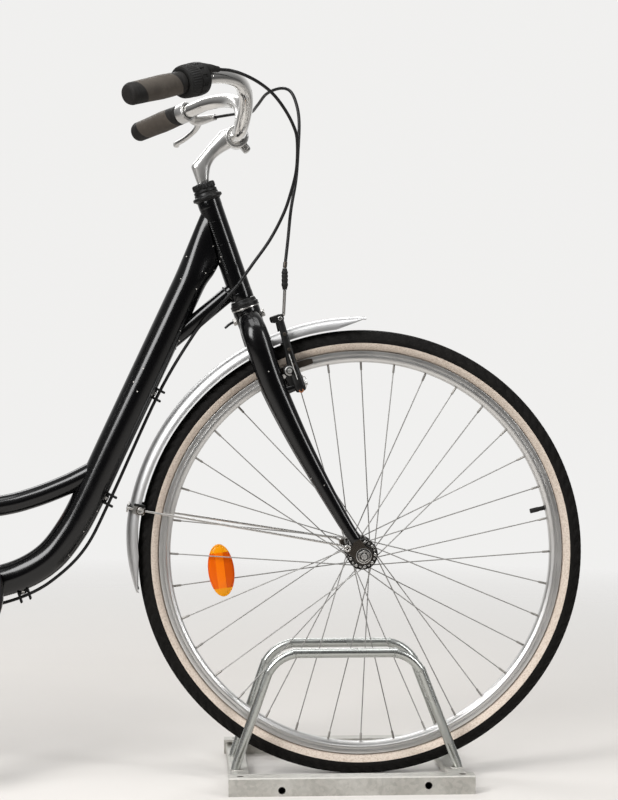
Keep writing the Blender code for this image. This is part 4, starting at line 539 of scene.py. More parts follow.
# half-oval section turned about the axle; the tread's rows rise in blocks: sign of sin(n·turn ± row)
def tyre(end, axle):
    c = tyreSize
    middle, rest = (c["radius"] + c["seat"]) / 2 - 0.4, c["seat"] - 0.4
    high, wide, black = c["radius"] - middle, c["width"] / 2, c["black"]
    dip = np.arcsin((middle - c["seat"]) / high)
    sweep = np.concatenate([np.linspace(-dip, black - 0.02, 9), np.linspace(black, pi - black, 61),
                            np.linspace(pi - black + 0.02, pi + dip, 9)])
    turn = np.linspace(0, 2 * pi, c["sides"] + 1)
    across = np.abs(sweep - pi / 2)[:, None]
    lean = c["blocks"] * turn + 5 * across
    shoulder = np.tanh(5 * (np.sin(lean) + 0.35))
    centre = np.tanh(5 * (np.sin(2 * lean) + np.cos(across * 15) + 0.5))
    onTread = np.clip((pi / 2 - c["edge"] - across) * 9, 0, 1)
    lift = onTread * c["knob"] / 2 * (np.where(across > 0.62, shoulder, centre) - 1)
    r, y = middle + (high + lift) * np.sin(sweep)[:, None], (wide + lift) * np.cos(sweep)[:, None]
    r, y = np.vstack([r, np.full((2, len(turn)), rest), r[:1]]), np.vstack([y, y[-1:], y[:1], y[:1]])
    grid = np.stack([axle[0] + r * np.cos(turn), y, axle[2] + r * np.sin(turn)], -1)
    flat, faces, uv, _ = sheet(grid, np.linspace(0, 60, len(turn)))[0]
    band = np.repeat(np.arange(len(grid) - 1), c["sides"])
    dark = ((band >= 8) & (band < 70)).astype(int)
    piece(end + "Tyre", [(flat, faces, uv, dark)], [tyreWall, tyreTread], end + "_wheel", 50)


spokeSet = dict(count=36, atRim=299, bend=1.2, valve=radians(13.3), reflector=radians(187))
# per hub: flange radius, half its spread, how far a spoke leans, half the axle's clamped width, half its profile
hubSet = dict(front=(19.5, 33, radians(60), 56,
                     [0, 37, 9.5, 37, 12.5, 36, 12.5, 35.2, 15.5, 35, 16.2, 34.3, 22.6, 34.3, 23.4, 35.2, 24, 34.5,
                      24, 31.5, 23, 30.5, 16.5, 29, 12.5, 25, 11.5, 18, 11, 0]),
              rear=(46, 29, radians(40), 71,
                    [0, 42, 15, 42, 15.5, 34, 27, 32.5, 49, 31.8, 50, 31, 50, 27.5, 49, 26.5, 37, 25, 35, 19, 34.5, 0]))


# box section rim with a round-cornered inner wall, joined as one turned profile; plus the valve
def rim(end, axle):
    half = [309.2, 6, 311, 8.8, 316.5, 9.5, 316.5, 12, 310.4, 12, 310, 11.1, 309, 11.1, 308.6, 12, 305, 12,
            304.3, 10.8, 300.4, 9.4, 298.5, 4.5]
    shapes = lathe(mirrored(pairs(half), -1), axle, left, 240, size=0.6, closed=True)
    valve = [0, -25.5, 3, -25.5, 3.8, -24.6, 3.8, -12, 3.4, -11.4, 3.4, -3, 4.6, -2.2, 4.6, 1, 0, 1]
    shapes += lathe(valve, around(axle, 300.5, spokeSet["valve"]), heading(spokeSet["valve"]), 24, 1, 0.3)
    piece(end + "Rim", shapes, [rimAlloy, blackRubber], end + "_wheel", 32)


# tangential spokes from two flanges to the rim, with a nipple and a head each, and the turned hub
def hub(end, axle):
    flange, spread, crossing, _, half = hubSet[end]
    shapes = []
    for k in range(spokeSet["count"]):
        sign, lean = (1 if k % 2 else -1), (1 if k // 2 % 2 else -1)
        atRim = 2 * pi * k / spokeSet["count"]
        start = around(axle, flange, atRim + lean * crossing, sign * (spread + lean * spokeSet["bend"]))
        tip = around(axle, spokeSet["atRim"], atRim, sign * 3)
        way = unit(tip - start)
        shapes += tube([start, tip], 1, 6, 1, bevel=0.2)
        shapes += tube([tip - way * 13.5, tip - way * 12, tip + way * 0.5], [1.2, 1.9, 1.9], 6, 1, slot=1, bevel=0.2)
        shapes += lathe([0, 1.2, 1.6, 1, 2.5, 0, 2.5, -1, 0, -1], start + left * sign * 1.8, left * sign, 8, 3, 0)
    shapes += lathe(mirrored(pairs(half)), axle, left, 48, 2, 0.9)
    piece(end + "Hub", shapes, [spokeSteel, nippleMetal, hubMetal, satin], end + "_wheel",
          node=end + "_hub_and_spokes")


# oval prism lens in a tray, clipped between two spokes: rings of an ellipse, both sides alike
def reflector(end, axle):
    angle, long, wide = spokeSet["reflector"], 41.2, 20.5
    origin, ax, ay, az = flatFrame(around(axle, 221, angle), heading(angle + pi / 2), heading(angle))
    turn = np.linspace(0, 2 * pi, 73)
    rings = mirrored(pairs([0, 6.1, 0.45, 6.1, 0.86, 5.4, 0.93, 4, 0.965, 4.4, 1, 3.4, 1, 0]))
    x, y = rings[:, :1] * np.cos(turn), rings[:, :1] * np.sin(turn)
    grid = origin + x[..., None] * long * ax + y[..., None] * wide * ay + rings[:, 1][:, None, None] * az
    piece(end + "Reflector", sheet(grid, 0.5 + x / 2, 0.5 + y / 2), amber, end + "_wheel", 30)


# axle that stands out of its washers and six-sided nuts
def axleParts(end, axle):
    half = hubSet[end][3]
    tip = half + 13.4
    shapes = lathe([0, -tip, 4, -tip, 4.7, 1 - tip, 4.7, tip - 1, 4, tip, 0, tip], axle, left, 24, size=0)
    nut = [9, 1.6, 9.8, 1.8, 9.8, 8.6, 9, 9.4, 6.4, 9.6, 5, 9, 0, 8.8]
    for out in (left, -left):
        face = axle + out * (half + 0.3)
        shapes += lathe([3, 0, 12, 0, 12, 1.6, 3, 1.6], face, out, 40, 0, 0.3)
        # painted shade: thin black rings at the foot of each nut and round the axle where it leaves the nut
        shapes += lathe([9.4, 1, 10.9, 1, 10.9, 2, 9.4, 2], face, out, 40, 2, 0)
        shapes += lathe([4.4, 8, 6.2, 8, 6.2, 9.9, 4.4, 9.9], face, out, 32, 2, 0)
        shapes += lathe(nut, face, out, 48, 1, 0, wave=lambda turn, r, h: (r > 7) * r * hexagon(turn))
    piece(end + "Axle", shapes, [satin, steel, blackRubber], "front_end" if end == "front" else "frame",
          30)


for build in (tyre, rim, hub, reflector, axleParts):
    build("front", frontAxle)
    build("rear", rearAxle)
print("wheels done")

forkSet = dict(spread=43.5, half=20, flat=0.74, boss=281, bossReach=30, track=311, tabHole=28)
# share of the fork's length, of its offset, of half its spread, and of the blade's half width
bladeShares = np.array([(0.965, 0, 0.30, 0.80), (0.93, 0, 0.72, 0.95), (0.87, 0, 1, 1), (0.70, 0, 1, 0.97),
                        (0.49, 0.20, 1.03, 0.80), (0.30, 0.48, 1.09, 0.62), (0.14, 0.76, 1.17, 0.50),
                        (0.06, 0.93, 1.21, 0.475)])


# round plate whose radius swells towards its tabs: r + (tab − r)·max(cos(turn − tab))^12
def dropout(axle, out, halfWidth, tabs, disc=20.8, reach=34, slot=0):
    turn = np.linspace(0, 2 * pi, 64, endpoint=False)
    towards = np.max([np.maximum(0, np.cos(turn - radians(tab))) for tab in tabs], axis=0) ** 12
    shapes = slab(polar(disc + towards * (reach - disc), turn), 5.8, flatFrame(axle + out * (halfWidth + 3)), slot, 1)
    for tab in tabs:
        shapes += bolt(around(axle, forkSet["tabHole"], radians(tab)) + out * (halfWidth + 5.9), out, 4.2, 2.6, 1)
    return shapes


def buildFork():
    s, length, middle = forkSet, bike["forkLength"], bike["forkLength"] - 16
    shapes = []
    for side in (1, -1):
        wide = side * s["spread"]
        line = [steerPoint(a * length, ahead * bike["offset"], spread * wide) for a, ahead, spread, w in bladeShares]
        shapes += tube(line, s["half"] * bladeShares[:, 3], 32, 8, s["flat"], left)
        shapes += dropout(frontAxle, left * side, 50, (155, 116), 13.8, 32, 1)
        shapes += tube([steerPoint(s["boss"], ahead, wide) for ahead in (0, s["bossReach"])], [7.5, 6], 24, 4)
    crown = [0, 0, 20, 0, 21.4, -3, 21.4, -10, 20.4, -22, 19.6, -36, 0, -36]
    shapes += lathe(crown, steerPoint(length), steerUp, 48, size=1.2)
    shapes += lathe([12.6, 0, 22.2, 0, 22.2, -2.2, 12.6, -2.2], steerPoint(length + 0.2), steerUp, 48, 2, 0.4)
    shapes += lathe([0, 0, 12.5, 0, 12.5, 205, 0, 205], steerPoint(length - 1), steerUp, 40, size=0.6)
    shapes += bolt(steerPoint(middle, 20), steerForward, 6.2, 5.8, 2)
    shapes += hexNut(steerPoint(middle, -20), -steerForward, 6.6, 5.5, 2)
    hook = [steerPoint(middle, -20), steerPoint(middle, -30), steerPoint(middle - 4, -41)]
    shapes += tube(hook, [2.1, 2.1, 1.9], 12, 5)
    piece("frontFork", shapes, [paint, darkSteel, steel], "front_end", node="fork")


# start along the steerer, sides, corner size, body, node, profile; the lock nut has upright ribs
headsetSet = dict(
    lowerCup=(bike["forkLength"] + bike["gap"], 96, 0.5, "frame", "headset_lower",
              [13.6, 0, 22.4, 0, 22.4, 1.6, 21.6, 2.2, 22.2, 3, 22.2, 6.2, 20.6, 7.2, 19.8, 10.8, 19, 12.8, 13.6, 12.8]),
    upperCup=(bike["headTop"] + bike["gap"], 96, 0.5, "frame", "headset_upper",
              [13.6, 0, 19, 0, 20, 1.6, 22.6, 2.8, 23.2, 3.6, 23.2, 6.6, 22.2, 7.8, 19.2, 8.8, 18.6, 12.8, 13.6, 12.8]),
    lockNut=(bike["headTop"] + 13 + 2 * bike["gap"], 144, 0.4, "front_end", "headset_locknut",
             [12.9, 0, 18, 0, 18.4, 0.4, 18.4, 3.4, 16.8, 4.4, 16.8, 5.6, 18.2, 6.4, 18.2, 13, 16.6, 14.8, 12.9, 14.8]))


# 24 fine upright ribs on the wide part between two heights
def ribs(turn, r, h):
    return -0.9 * (0.5 + 0.5 * np.cos(24 * turn)) * ((h > 6.4) & (h < 14)) * (r > 15)


def buildHeadset():
    for name, (start, sides, size, body, nodeName, profile) in headsetSet.items():
        shapes = lathe(profile, steerPoint(start), steerUp, sides, 0, size, True, ribs if name == "lockNut" else None)
        piece(name, shapes, blackPlastic, body, node=nodeName)


# section between a circle and a square: |x|^p + |y|^p = 1
def softBlock(power):
    return lambda turn: (signed(np.cos(turn), 2 / power), signed(np.sin(turn), 2 / power))


clampPlace = steerPoint(bike["steererTop"]) + (53, 0, 71.6)
stemBack = pairs([316.6, 924, 306.8, 950.8, 308.2, 955, 329, 980, 352, 1007.5, 369, 1013])
stemFront = pairs([335.2, 942, 337.8, 954, 345, 965.5, 359, 976, 380, 987])


def buildStem():
    foot, half = steerPoint(bike["steererTop"] + bike["gap"])[[0, 2]], steerForward[[0, 2]] * 10.5
    t = np.linspace(0, 1, 46)
    backLine, frontLine = np.vstack([foot - half, stemBack]), smoothLine(np.vstack([foot + half, stemFront]), 8)
    edges = ((backLine, [0, 0.06, 0.30, 0.36, 0.62, 0.86, 1]), (frontLine, np.linspace(0, 1, len(frontLine))))
    back, front = (np.column_stack([np.interp(t, where, line[:, k]) for k in (0, 1)]) for line, where in edges)
    shapes = loft(back, front, np.interp(t, [0, 0.3, 0.7, 1], [10.4, 12.8, 12, 14.5]), 2.8)
    collar = [11.3, -21, 17, -21, 18.2, -19.5, 18.2, 19.5, 17, 21, 11.3, 21]
    shapes += lathe(collar, clampPlace, left, 56, size=0.6, closed=True)
    ear = unit(np.array((0.62, 0, -0.78)))
    for y in (-7.5, 7.5):
        place = flatFrame(clampPlace + ear * 20.5 + left * y, ear, np.cross(left, ear))
        shapes += slab(roundRect(17, 12, 4), 10.5, place, 0, 1.2)
    shapes += bolt(clampPlace + ear * 22.5 - left * 12.5, -left, 4.2, 3.5, 1)
    shapes += hexNut(clampPlace + ear * 22.5 + left * 12.5, left, 4.8, 3.5, 1)
    piece("barStem", shapes, [satin, steel], "front_end", node="stem")


barSize = dict(half=325, back=160, rise=74, radius=11.1, grip=105.3)
# shares of half the bar's width, of its reach to the rear and of its rise
barShares = np.array([(0, 0, 0), (0.075, 0, 0), (0.10, 0, 0), (0.20, 0.03, 0.10), (0.31, 0.07, 0.52), (0.40, 0.05, 0.82),
                      (0.49, -0.02, 0.96), (0.58, -0.14, 1), (0.66, -0.288, 0.96), (0.69, -0.351, 0.915), (1, -1, 0.45)])
cableRadius = 2.5
brakeRoute = np.reshape([348.5, 236, 1050, 379.5, 200, 1052, 403.5, 150, 1050, 413.5, 100, 1057, 426.5, 55, 1071,
                         446.5, 28, 1077, 461.5, 10, 1071, 470.5, 0, 1051, 474.5, -10, 1022, 472.5, -20, 977,
                         468.5, -30, 930, 460.5, -35, 884, 455.5, -40, 837, 450.5, -43.5, 794], (-1, 3))
shiftRoute = np.reshape([346.5, -225, 1078, 362.5, -213, 1078, 381.5, -200, 1074, 404.5, -180, 1065, 426.5, -150, 1052,
                         445.5, -125, 1032, 460.5, -100, 1009, 467.5, -85, 987, 467.5, -62, 944, 458.5, -53, 906,
                         447.5, -48, 875, 427.5, -43, 837, 400.5, -40, 799, 379, -40, 768.6], (-1, 3))
frameRoute = np.reshape([378.8, -40, 768.3, 358.5, -37, 745, 330.5, -21, 714, 309.5, -6, 690, 254.5, 0, 597,
                         179.5, 0, 433, 140.5, 0, 358, 93.5, 0, 311, 46.5, 0, 284, -13.5, 0, 267, -73.5, -10, 262,
                         -128.5, -24, 270, -218.5, -41, 295, -358.5, -52, 313, -468.5, -59.5, 327, -513.5, -60, 329],
                        (-1, 3))


def barLine(side):
    return clampPlace + barShares[:, [1, 0, 2]] * (barSize["back"], side * barSize["half"], barSize["rise"])


rightEnd, leftEnd = barLine(-1)[-1], barLine(1)[-1]
rightInward, leftInward = unit(barLine(-1)[-2] - rightEnd), unit(barLine(1)[-2] - leftEnd)


# a profile with extra points between its own, for waves to bend
def dense(profile, steps):
    p = pairs(profile)
    return np.vstack([np.linspace(a, b, steps, endpoint=False) for a, b in zip(p, p[1:])] + [p[-1]])


# 40 fine grooves on the inner ring and 13 wide ones on the turning sleeve
def knurl(turn, r, h):
    fine = -0.7 * (0.5 + 0.5 * np.cos(40 * turn)) * ((h > 3) & (h < 19.5))
    return fine - 1.6 * (np.cos(13 * turn) > 0.2) * ((h > 22.6) & (h < 32)) * (r > 24)


def buildBar():
    whole = np.vstack([barLine(-1)[::-1], barLine(1)[1:]])
    piece("handleBar", tube(whole, barSize["radius"], 36, 10, bevel=1.2), chrome, "front_end",
          node="handlebar")
    grip = [0, -3, 9.6, -2.8, 13.6, -1.4, 15.4, 1.6, 16.4, 4.6, 16.3, 8.5, 16, 9.2, 16.4, 10, 16.6, 20, 16.8, 37,
            17.6, 63, 17.2, 80, 16.6, 93.5, 16.1, 94.5, 16.6, 96, 16.6, 103.5, 16, 104.8, 12.1, 105, 12.1, 100]
    for word, end, inward in (("right", rightEnd, rightInward), ("left", leftEnd, leftInward)):
        piece(word + "Grip", lathe(grip, end, inward, 64, size=0.9, ref=left), gripMade, "front_end",
              node="grip_" + word)
    start = rightEnd + rightInward * barSize["grip"]
    sleeves = [12.3, 0, 19.5, 0, 22.6, 1, 24, 4, 24.5, 9, 24.7, 16, 24.3, 20, 23.4, 20.6, 23.4, 21.6, 24.8, 22.4,
               24.8, 33, 24.6, 33.8, 24, 39.2, 22.5, 39.8, 12.3, 39.8]
    shapes = lathe(dense(sleeves, 5), start, rightInward, 200, size=0, wave=knurl)
    first, towards = shiftRoute[0], unit(shiftRoute[1] - shiftRoute[0])
    root = start + rightInward * 28.8 + up * 16.8
    spout = [root, (root + first - towards * 20) / 2] + [first - towards * back for back in (17, 9, 0.4)]
    shapes += tube(spout, [8.5, 7.8, 6.4, 5.2, 3.9], 28, section=softBlock(2.6))
    for k in range(4):
        shapes += ringTube(first - towards * (3 + 3.5 * k), towards, 4 + 0.4 * k, 0.7, 24, thick=8)
    piece("twistShifter", shapes, blackRubber, "front_end", 30)


leverSet = dict(seat=9, length=70, out=45, down=30)
# shares of the lever's length, of its reach ahead and of its drop
bladeLine = [(-0.10, 0.62, 0.35), (0.05, 0.85, 0.45), (0.30, 1, 0.7), (0.62, 0.98, 0.95), (0.88, 1.02, 1), (1, 1.12, 1)]


def buildLever():
    outward = unit(np.cross(up, leftInward))
    outward = outward if outward[0] > 0 else -outward
    seat = leftEnd + leftInward * (barSize["grip"] + leverSet["seat"])
    point = lambda along, out, down: (seat - leftInward * leverSet["length"] * along
                                      + outward * leverSet["out"] * out - up * leverSet["down"] * down)
    clamp = [12.2, -8.8, 15.8, -8.8, 16.5, -7.8, 16.5, 7.8, 15.8, 8.8, 12.2, 8.8]
    shapes = lathe(clamp, seat, leftInward, 44, size=0.6, closed=True)
    pivot, first, towards = point(0, 0.62, 0.35), brakeRoute[0], unit(brakeRoute[1] - brakeRoute[0])
    shapes += tube([seat + outward * 14.5, pivot, first - towards * 6, first - towards * 0.4], [8.5, 8.8, 5.2, 4.4],
                   28, 7, section=softBlock(3))
    shapes += ringTube(first - towards * 6, towards, 4.6, 0.9, 24, 1, 8)
    shapes += tube([point(*shares) for shares in bladeLine], [5.4, 5, 4.2, 4.1, 4.4, 5.4], 28, 10, ref=up,
                   section=softBlock(2.4))
    shapes += bolt(pivot + up * 8.2, up, 4.2, 2.2, 1) + bolt(seat + outward * 15.5, outward, 3.6, 3, 1)
    piece("brakeLever", shapes, [satin, steel], "front_end")


armSet = dict(ahead=38.3, top=393, topAhead=44, topSide=37.5, shoeSide=19.5, shoeHalf=33)
shoeAlong = sqrt(forkSet["track"] ** 2 - (armSet["ahead"] - bike["offset"]) ** 2)


def armTop(side):
    return steerPoint(armSet["top"], armSet["topAhead"], side * armSet["topSide"])


# a squarish arm on the fork's boss, its post for the shoe, screws and springs
def buildBrake(word, side):
    out, top = left * side, armTop(side)
    foot = steerPoint(forkSet["boss"], armSet["ahead"], side * forkSet["spread"])
    shoulder = steerPoint(shoeAlong, armSet["ahead"], side * 40.5)
    line = [foot - steerUp * 4.5, foot, shoulder, shoulder * 0.45 + top * 0.55, top]
    shapes = tube(line, [7.6, 9.2, 8.2, 6, 5], 36, ref=left, section=softBlock(3.6))
    shapes += box(top - steerUp * 3 - steerForward * 3.5, (19, 10.5, 7.8), steerForward, steerUp, 0, 3, 1.2)
    shapes += box(foot * 0.62 + shoulder * 0.38 - steerForward * 7.5, (17, 20, 11), steerForward, steerUp, 0, 4, 1.6)
    screw = [0, 5.2, 3, 5.2, 3.1, 2.2, 5, 2.2, 6, 1.4, 7.2, 1.2, 7.2, -16, 0, -16]
    shapes += lathe(screw, foot + steerForward * 8, steerForward, 30, 1, 0.4)
    for share in (0.30, 0.52, 0.74):
        spot = foot + (top - foot) * share + out * (6.3 - 2 * share)
        shapes += lathe([0, 1.2, 2.4, 1.2, 3, 0.4, 3, -2, 0, -2], spot, out, 20, 2, 0.3)
    post = shoulder - steerForward * 7 - steerUp * 3
    for sides, slot, size, profile in ((40, 0, 0.5, [0, -6, 9.8, -6, 9.8, 6.2, 8.8, 7.4, 0, 7.4]),
                                       (40, 1, 0.3, [0, 8.6, 7, 8.6, 7.5, 8.1, 7.5, 7, 0, 7]),
                                       (32, 0, 0.2, [0, 9.4, 5.2, 9.4, 5.4, 8.4, 0, 8.4])):
        shapes += lathe(profile, post, out, sides, slot, size)
    shapes += bolt(post + out * 9.2, out, 3.8, 4, 1) + bolt(top + out * 3 - steerUp * 4, out, 3.4, 2.6, 1)
    shapes += bolt(foot - steerUp * 7.2 + out * 5, out, 4, 3.4, 3)
    shapes += ringTube(foot + steerForward * 10 + steerUp * 8, left, 3.4, 0.7, 24, 1, 8)
    spring = [foot + out * aside + steerUp * high for aside, high in ((6.6, -3), (7.8, 30), (7, 52))]
    shapes += tube(spring, 0.9, 10, 6, slot=1)
    piece("brakeArm" + word.title(), shapes, [blackPlastic, satin, darkSteel, rust], "front_end")
    centre, track = steerPoint(shoeAlong, armSet["ahead"], side * armSet["shoeSide"]), forkSet["track"]
    spread = armSet["shoeHalf"] / track
    turn = np.linspace(-spread, spread, 25) + atan2(centre[2] - frontAxle[2], centre[0] - frontAxle[0])
    cut = 5 * (1 - 0.35 * np.abs(np.linspace(-1, 1, 25)) ** 6)
    outline = np.vstack([polar(track + cut, turn), polar(track - cut[::-1], turn[::-1])])
    shapes = slab(outline, 6.2, flatFrame(frontAxle + out * (armSet["shoeSide"] - 1.2)), 0, 1)
    shapes += slab(outline, 2.6, flatFrame(frontAxle + out * (armSet["shoeSide"] + 3.1)), 1, 0.6)
    shapes += tube([centre, centre + out * 14], 3.6, 20, 1, slot=1)
    washer = [3.6, 0, 7.2, 0, 7.8, 1.5, 6, 3.4, 3.6, 3.6]
    shapes += lathe(washer, centre + out * 5, out, 28, 1, 0.3, closed=True)
    piece("brakeShoe" + word.title(), shapes, [blackRubber, darkSteel], "front_end")


# a sleeve along its route with a metal end cap
def capped(route):
    cap = [0, 0, 2.6, 0, 3.2, 1, 3.2, 8.5, 2.7, 9.5, 0, 9.5]
    return tube(route, cableRadius, 16) + lathe(cap, route[-1], route[-2] - route[-1], 18, 1, 0.3)


def buildCables():
    piece("brakeCable", capped(brakeRoute), [sleeve, darkSteel], "front_end")
    steered = piece("shiftCableFront", tube(shiftRoute, cableRadius, 16), sleeve, "")
    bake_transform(steered)
    piece("shiftCableFrame", capped(frameRoute), [sleeve, darkSteel], "frame")
    rest, far, end = (armTop(-1) + steerForward * 7.3, armTop(1) + steerForward * 7.3, brakeRoute[-1])
    bootFoot = end - up * 34
    route = [bootFoot + (rest - bootFoot) * share for share in (0, 0.3, 0.6, 0.88, 1)]
    route += [rest + (far - rest) * share for share in (0.06, 0.16, 0.32)]
    shapes = tube(route, 2.5, 18, 10, ref=heading(0)) + tube([rest + (far - rest) * 0.2, far], 0.9, 10, 1)
    piece("brakeNoodle", shapes, steel, "front_end")
    boot = dense([0, -0.4, 3.4, -0.6, 4, -4, 5.2, -7.5, 5.2, -26.5, 4, -30, 3.4, -33.6, 0, -33.6], 9)
    bellows = lambda turn, wide, h: -0.9 * (0.5 + 0.5 * np.cos(h * 2 * pi / 3.2)) * ((h < -7.5) & (h > -26.5))
    piece("noodleBoot", lathe(boot, end, up, 28, size=0, wave=bellows), blackRubber, "front_end")


buildFork()
buildHeadset()
buildStem()
buildBar()
buildLever()
buildBrake("right", -1)
buildBrake("left", 1)
buildCables()
print("front end done")


# a thin wall: outer path, back along the inner path, carried through the stations; both ends pinched shut
def shell(outer, inner, place, stations):
    profile = np.vstack([outer, inner[::-1]])
    middle = (profile + profile[::-1]) / 2
    rows = [place(middle, stations[0])] + [place(profile, t) for t in stations] + [place(middle, stations[-1])]
    grid = np.stack(rows, axis=1)
    length = runLength(np.vstack([profile, profile[:1]]))
    return sheet(np.concatenate([grid, grid[:1]]), None, length / length[-1])


guardSet = dict(radius=370, depth=18, half=23, wall=1.2, front=(89, 189.6), rear=(-14, 196), drawFrom=170, drawIn=13)


# arched wall carried round the axle; its tips grow flatter, and the front one's foot draws in to the tyre
def mudguard(end, axle, body, steps, tips):
    g, front = guardSet, end == "front"
    start, stop, drawFrom = (radians(a) for a in (*g[end], g["drawFrom"]))
    inwards = lambda a: front * g["drawIn"] * np.clip((a - drawFrom) / (stop - drawFrom), 0, 1) ** 1.7
    taper = lambda a: min([(a - start) / tips[0]] * (tips[0] > 0) + [(stop - a) / tips[1], 1])
    height = lambda a, r: g["radius"] - inwards(a) + (r - g["radius"]) * max(taper(a), 0.12) ** 0.7
    y = np.sin(np.linspace(-pi / 2, pi / 2, 33))
    outer = np.column_stack([g["radius"] + g["depth"] * ((1 - np.abs(y) ** 2.6) ** (1 / 2.2) - 1), y * g["half"]])
    inner = np.column_stack([outer[:, 0] - g["wall"], y * (g["half"] - g["wall"])])
    inner[[0, -1], 0] = outer[0, 0]
    place = lambda p, a: (axle + height(a, p[:, :1]) * heading(a)) + p[:, 1:] * left
    stations = np.linspace(start, stop, steps)
    shapes = shell(outer, inner, place, stations)
    for side in (1, -1):
        rim = [around(axle, height(a, g["radius"] - g["depth"] + 0.8), a, side * (g["half"] - 0.9)) for a in stations]
        shapes += tube(rim, 0.9, 8, 1)
    if front:
        head = steerPoint(bike["forkLength"] - 36 - bike["gap"])
        reach = np.linalg.norm(head - axle) - g["radius"] + 2
        shapes += box(head - steerUp * reach / 2, (13.5, reach, 13), steerForward, steerUp, 0, 2)
    piece(end + "Mudguard", shapes, brushed, body, 40)


# two wires from eyelets at the axle to clips on the mudguard's edges, and the strap between them
def stays(word, axle, hubWidth, eyelet, angle, body):
    eyelet, angle = radians(eyelet), radians(angle)
    radial, along = heading(angle), heading(angle + pi / 2)
    shapes = box(around(axle, 371.8, angle), (52.5, 13.5, 2.8), left, along, 0, 3)
    shapes += bolt(around(axle, 373.1, angle), radial, 3.6, 0.8, 1, False)
    for out in (left, -left):
        line = [around(axle, reach, eyelet) + out * (hubWidth / 2 + 8.1) for reach in (28, 41.2)]
        line += [around(axle, reach, angle) + out * 25.1 for reach in (352, 374)]
        shapes += tube(line, 1.8, 14, 1, bevel=0.4) + ringTube(line[0], left, 4, 1.6, 28)
        clip = around(axle, 356.5, angle) + out * 28
        shapes += box(clip - radial * 2, (19, 14, 6.2), radial, along, 0, 3)
        shapes += box(clip - radial * 2 - along * 7.5, (18, 4, 8), radial, along, 2, 1.5)
        shapes += lathe([0, 1, 7, 1, 7, -1, 0, -1], clip - radial * 5 + out * 3, out, 32, 1, 0.2)
        shapes += bolt(clip - radial * 5 + out * 4, out, 5.2, 2.8)
    piece(word, shapes, [steel, darkSteel, blackPlastic], body)


def stayLine(start, end, side, shares):
    shares = pairs(shares)
    line = start + (end - start) * shares[:, :1]
    line[:, 1] = side * shares[:, 1] * 65
    return line


# a ring of overlapping beads: a round wire whose thickness ripples round the turn
def weld(centre, axis, radius, size=1.6, beads=30):
    return lathe(polar(size, np.linspace(0, 2 * pi, 11)) + (radius, 0), centre, axis, beads * 6, 0, 0,
                 wave=lambda t, r, h: 0.5 * np.abs(np.sin(t * beads / 2)) * (r > radius))


# the main tube's side view: its middle line, flared and set back where it meets the head tube
def mainTube(line):
    run = runLength(line)
    near = np.clip(1 - run / 85, 0, 1) ** 2 * (1 + 2 * np.minimum(run / 85, 1))
    ahead = unit(np.gradient(line, axis=0))
    ease = np.minimum(1, 0.6 + run[::-1] / 20)
    half = np.cross(ahead, left) * ((25 + 4.5 * near) * ease)[:, None]
    skew = ahead * (-36 * near)[:, None]
    sides = (line - half + skew, line + half - skew)
    if sides[0][0, 2] < sides[1][0, 2]:
        sides = (line + half + skew, line - half - skew)
    return loft(sides[0][:, [0, 2]], sides[1][:, [0, 2]], (25 - 8.7 * near) * ease)


frameSet = dict(
    head=[13.1, 0, 18.5, 0, 18.5, 10, 18.2, 11.2, 18.2, 150.8, 18.5, 152, 18.5, 162, 13.1, 162],
    cup=[9.5, -34, 17, -34, 18, -32.5, 21, -32, 21, 32, 18, 32.5, 17, 34, 9.5, 34],
    main=[0.764, 0.659, 0.616, 0.421, 0.513, 0.254, 0.450, 0.167, 0.374, 0.095, 0.273, 0.047, 0.142, 0.018, 0, 0],
    upper=[(165, 0, 484), (152.3, 0, 477.1), (113.7, 0, 457.8), (58.9, 0, 436.9), (4.2, 0, 424)],
    chainStay=[0, 0.34, 0.15, 0.46, 0.26, 0.585, 0.50, 0.77, 0.85, 0.946, 0.962, 0.97],
    seatStay=[0, 0.25, 0.10, 0.55, 0.20, 0.65, 0.60, 0.85, 0.96, 0.98])
standPivot, standAxis = rearAxle + (75, 88, -62), unit(np.array((-0.022194, -0.94129, -0.33687)))


# saddles that hold the cable on the tube next to it, at one of the route's points
def guide(fine, index):
    spot, run = frameRoute[index], unit(frameRoute[index + 1] - frameRoute[index - 1])
    anchor = fine[np.argmin(np.linalg.norm(fine - spot, axis=1))]
    inward = unit(anchor - spot)
    shapes = tube([spot + inward * 3.2, anchor], 4, 18, 1, slot=1)
    for shift in (7.5, -7.5):
        shapes += box(spot + inward * 0.5 + run * shift, (3.6, 18.5, 10.5), run, inward, 1, 1.5, 0.6)
    shapes += box(spot + inward * 6.2, (19, 4.6, 9), run, inward, 1, 1.5, 0.6)
    return shapes + bolt(spot + inward * 6.8 - left * 5.5, -left, 2.6, 1.8, 2)


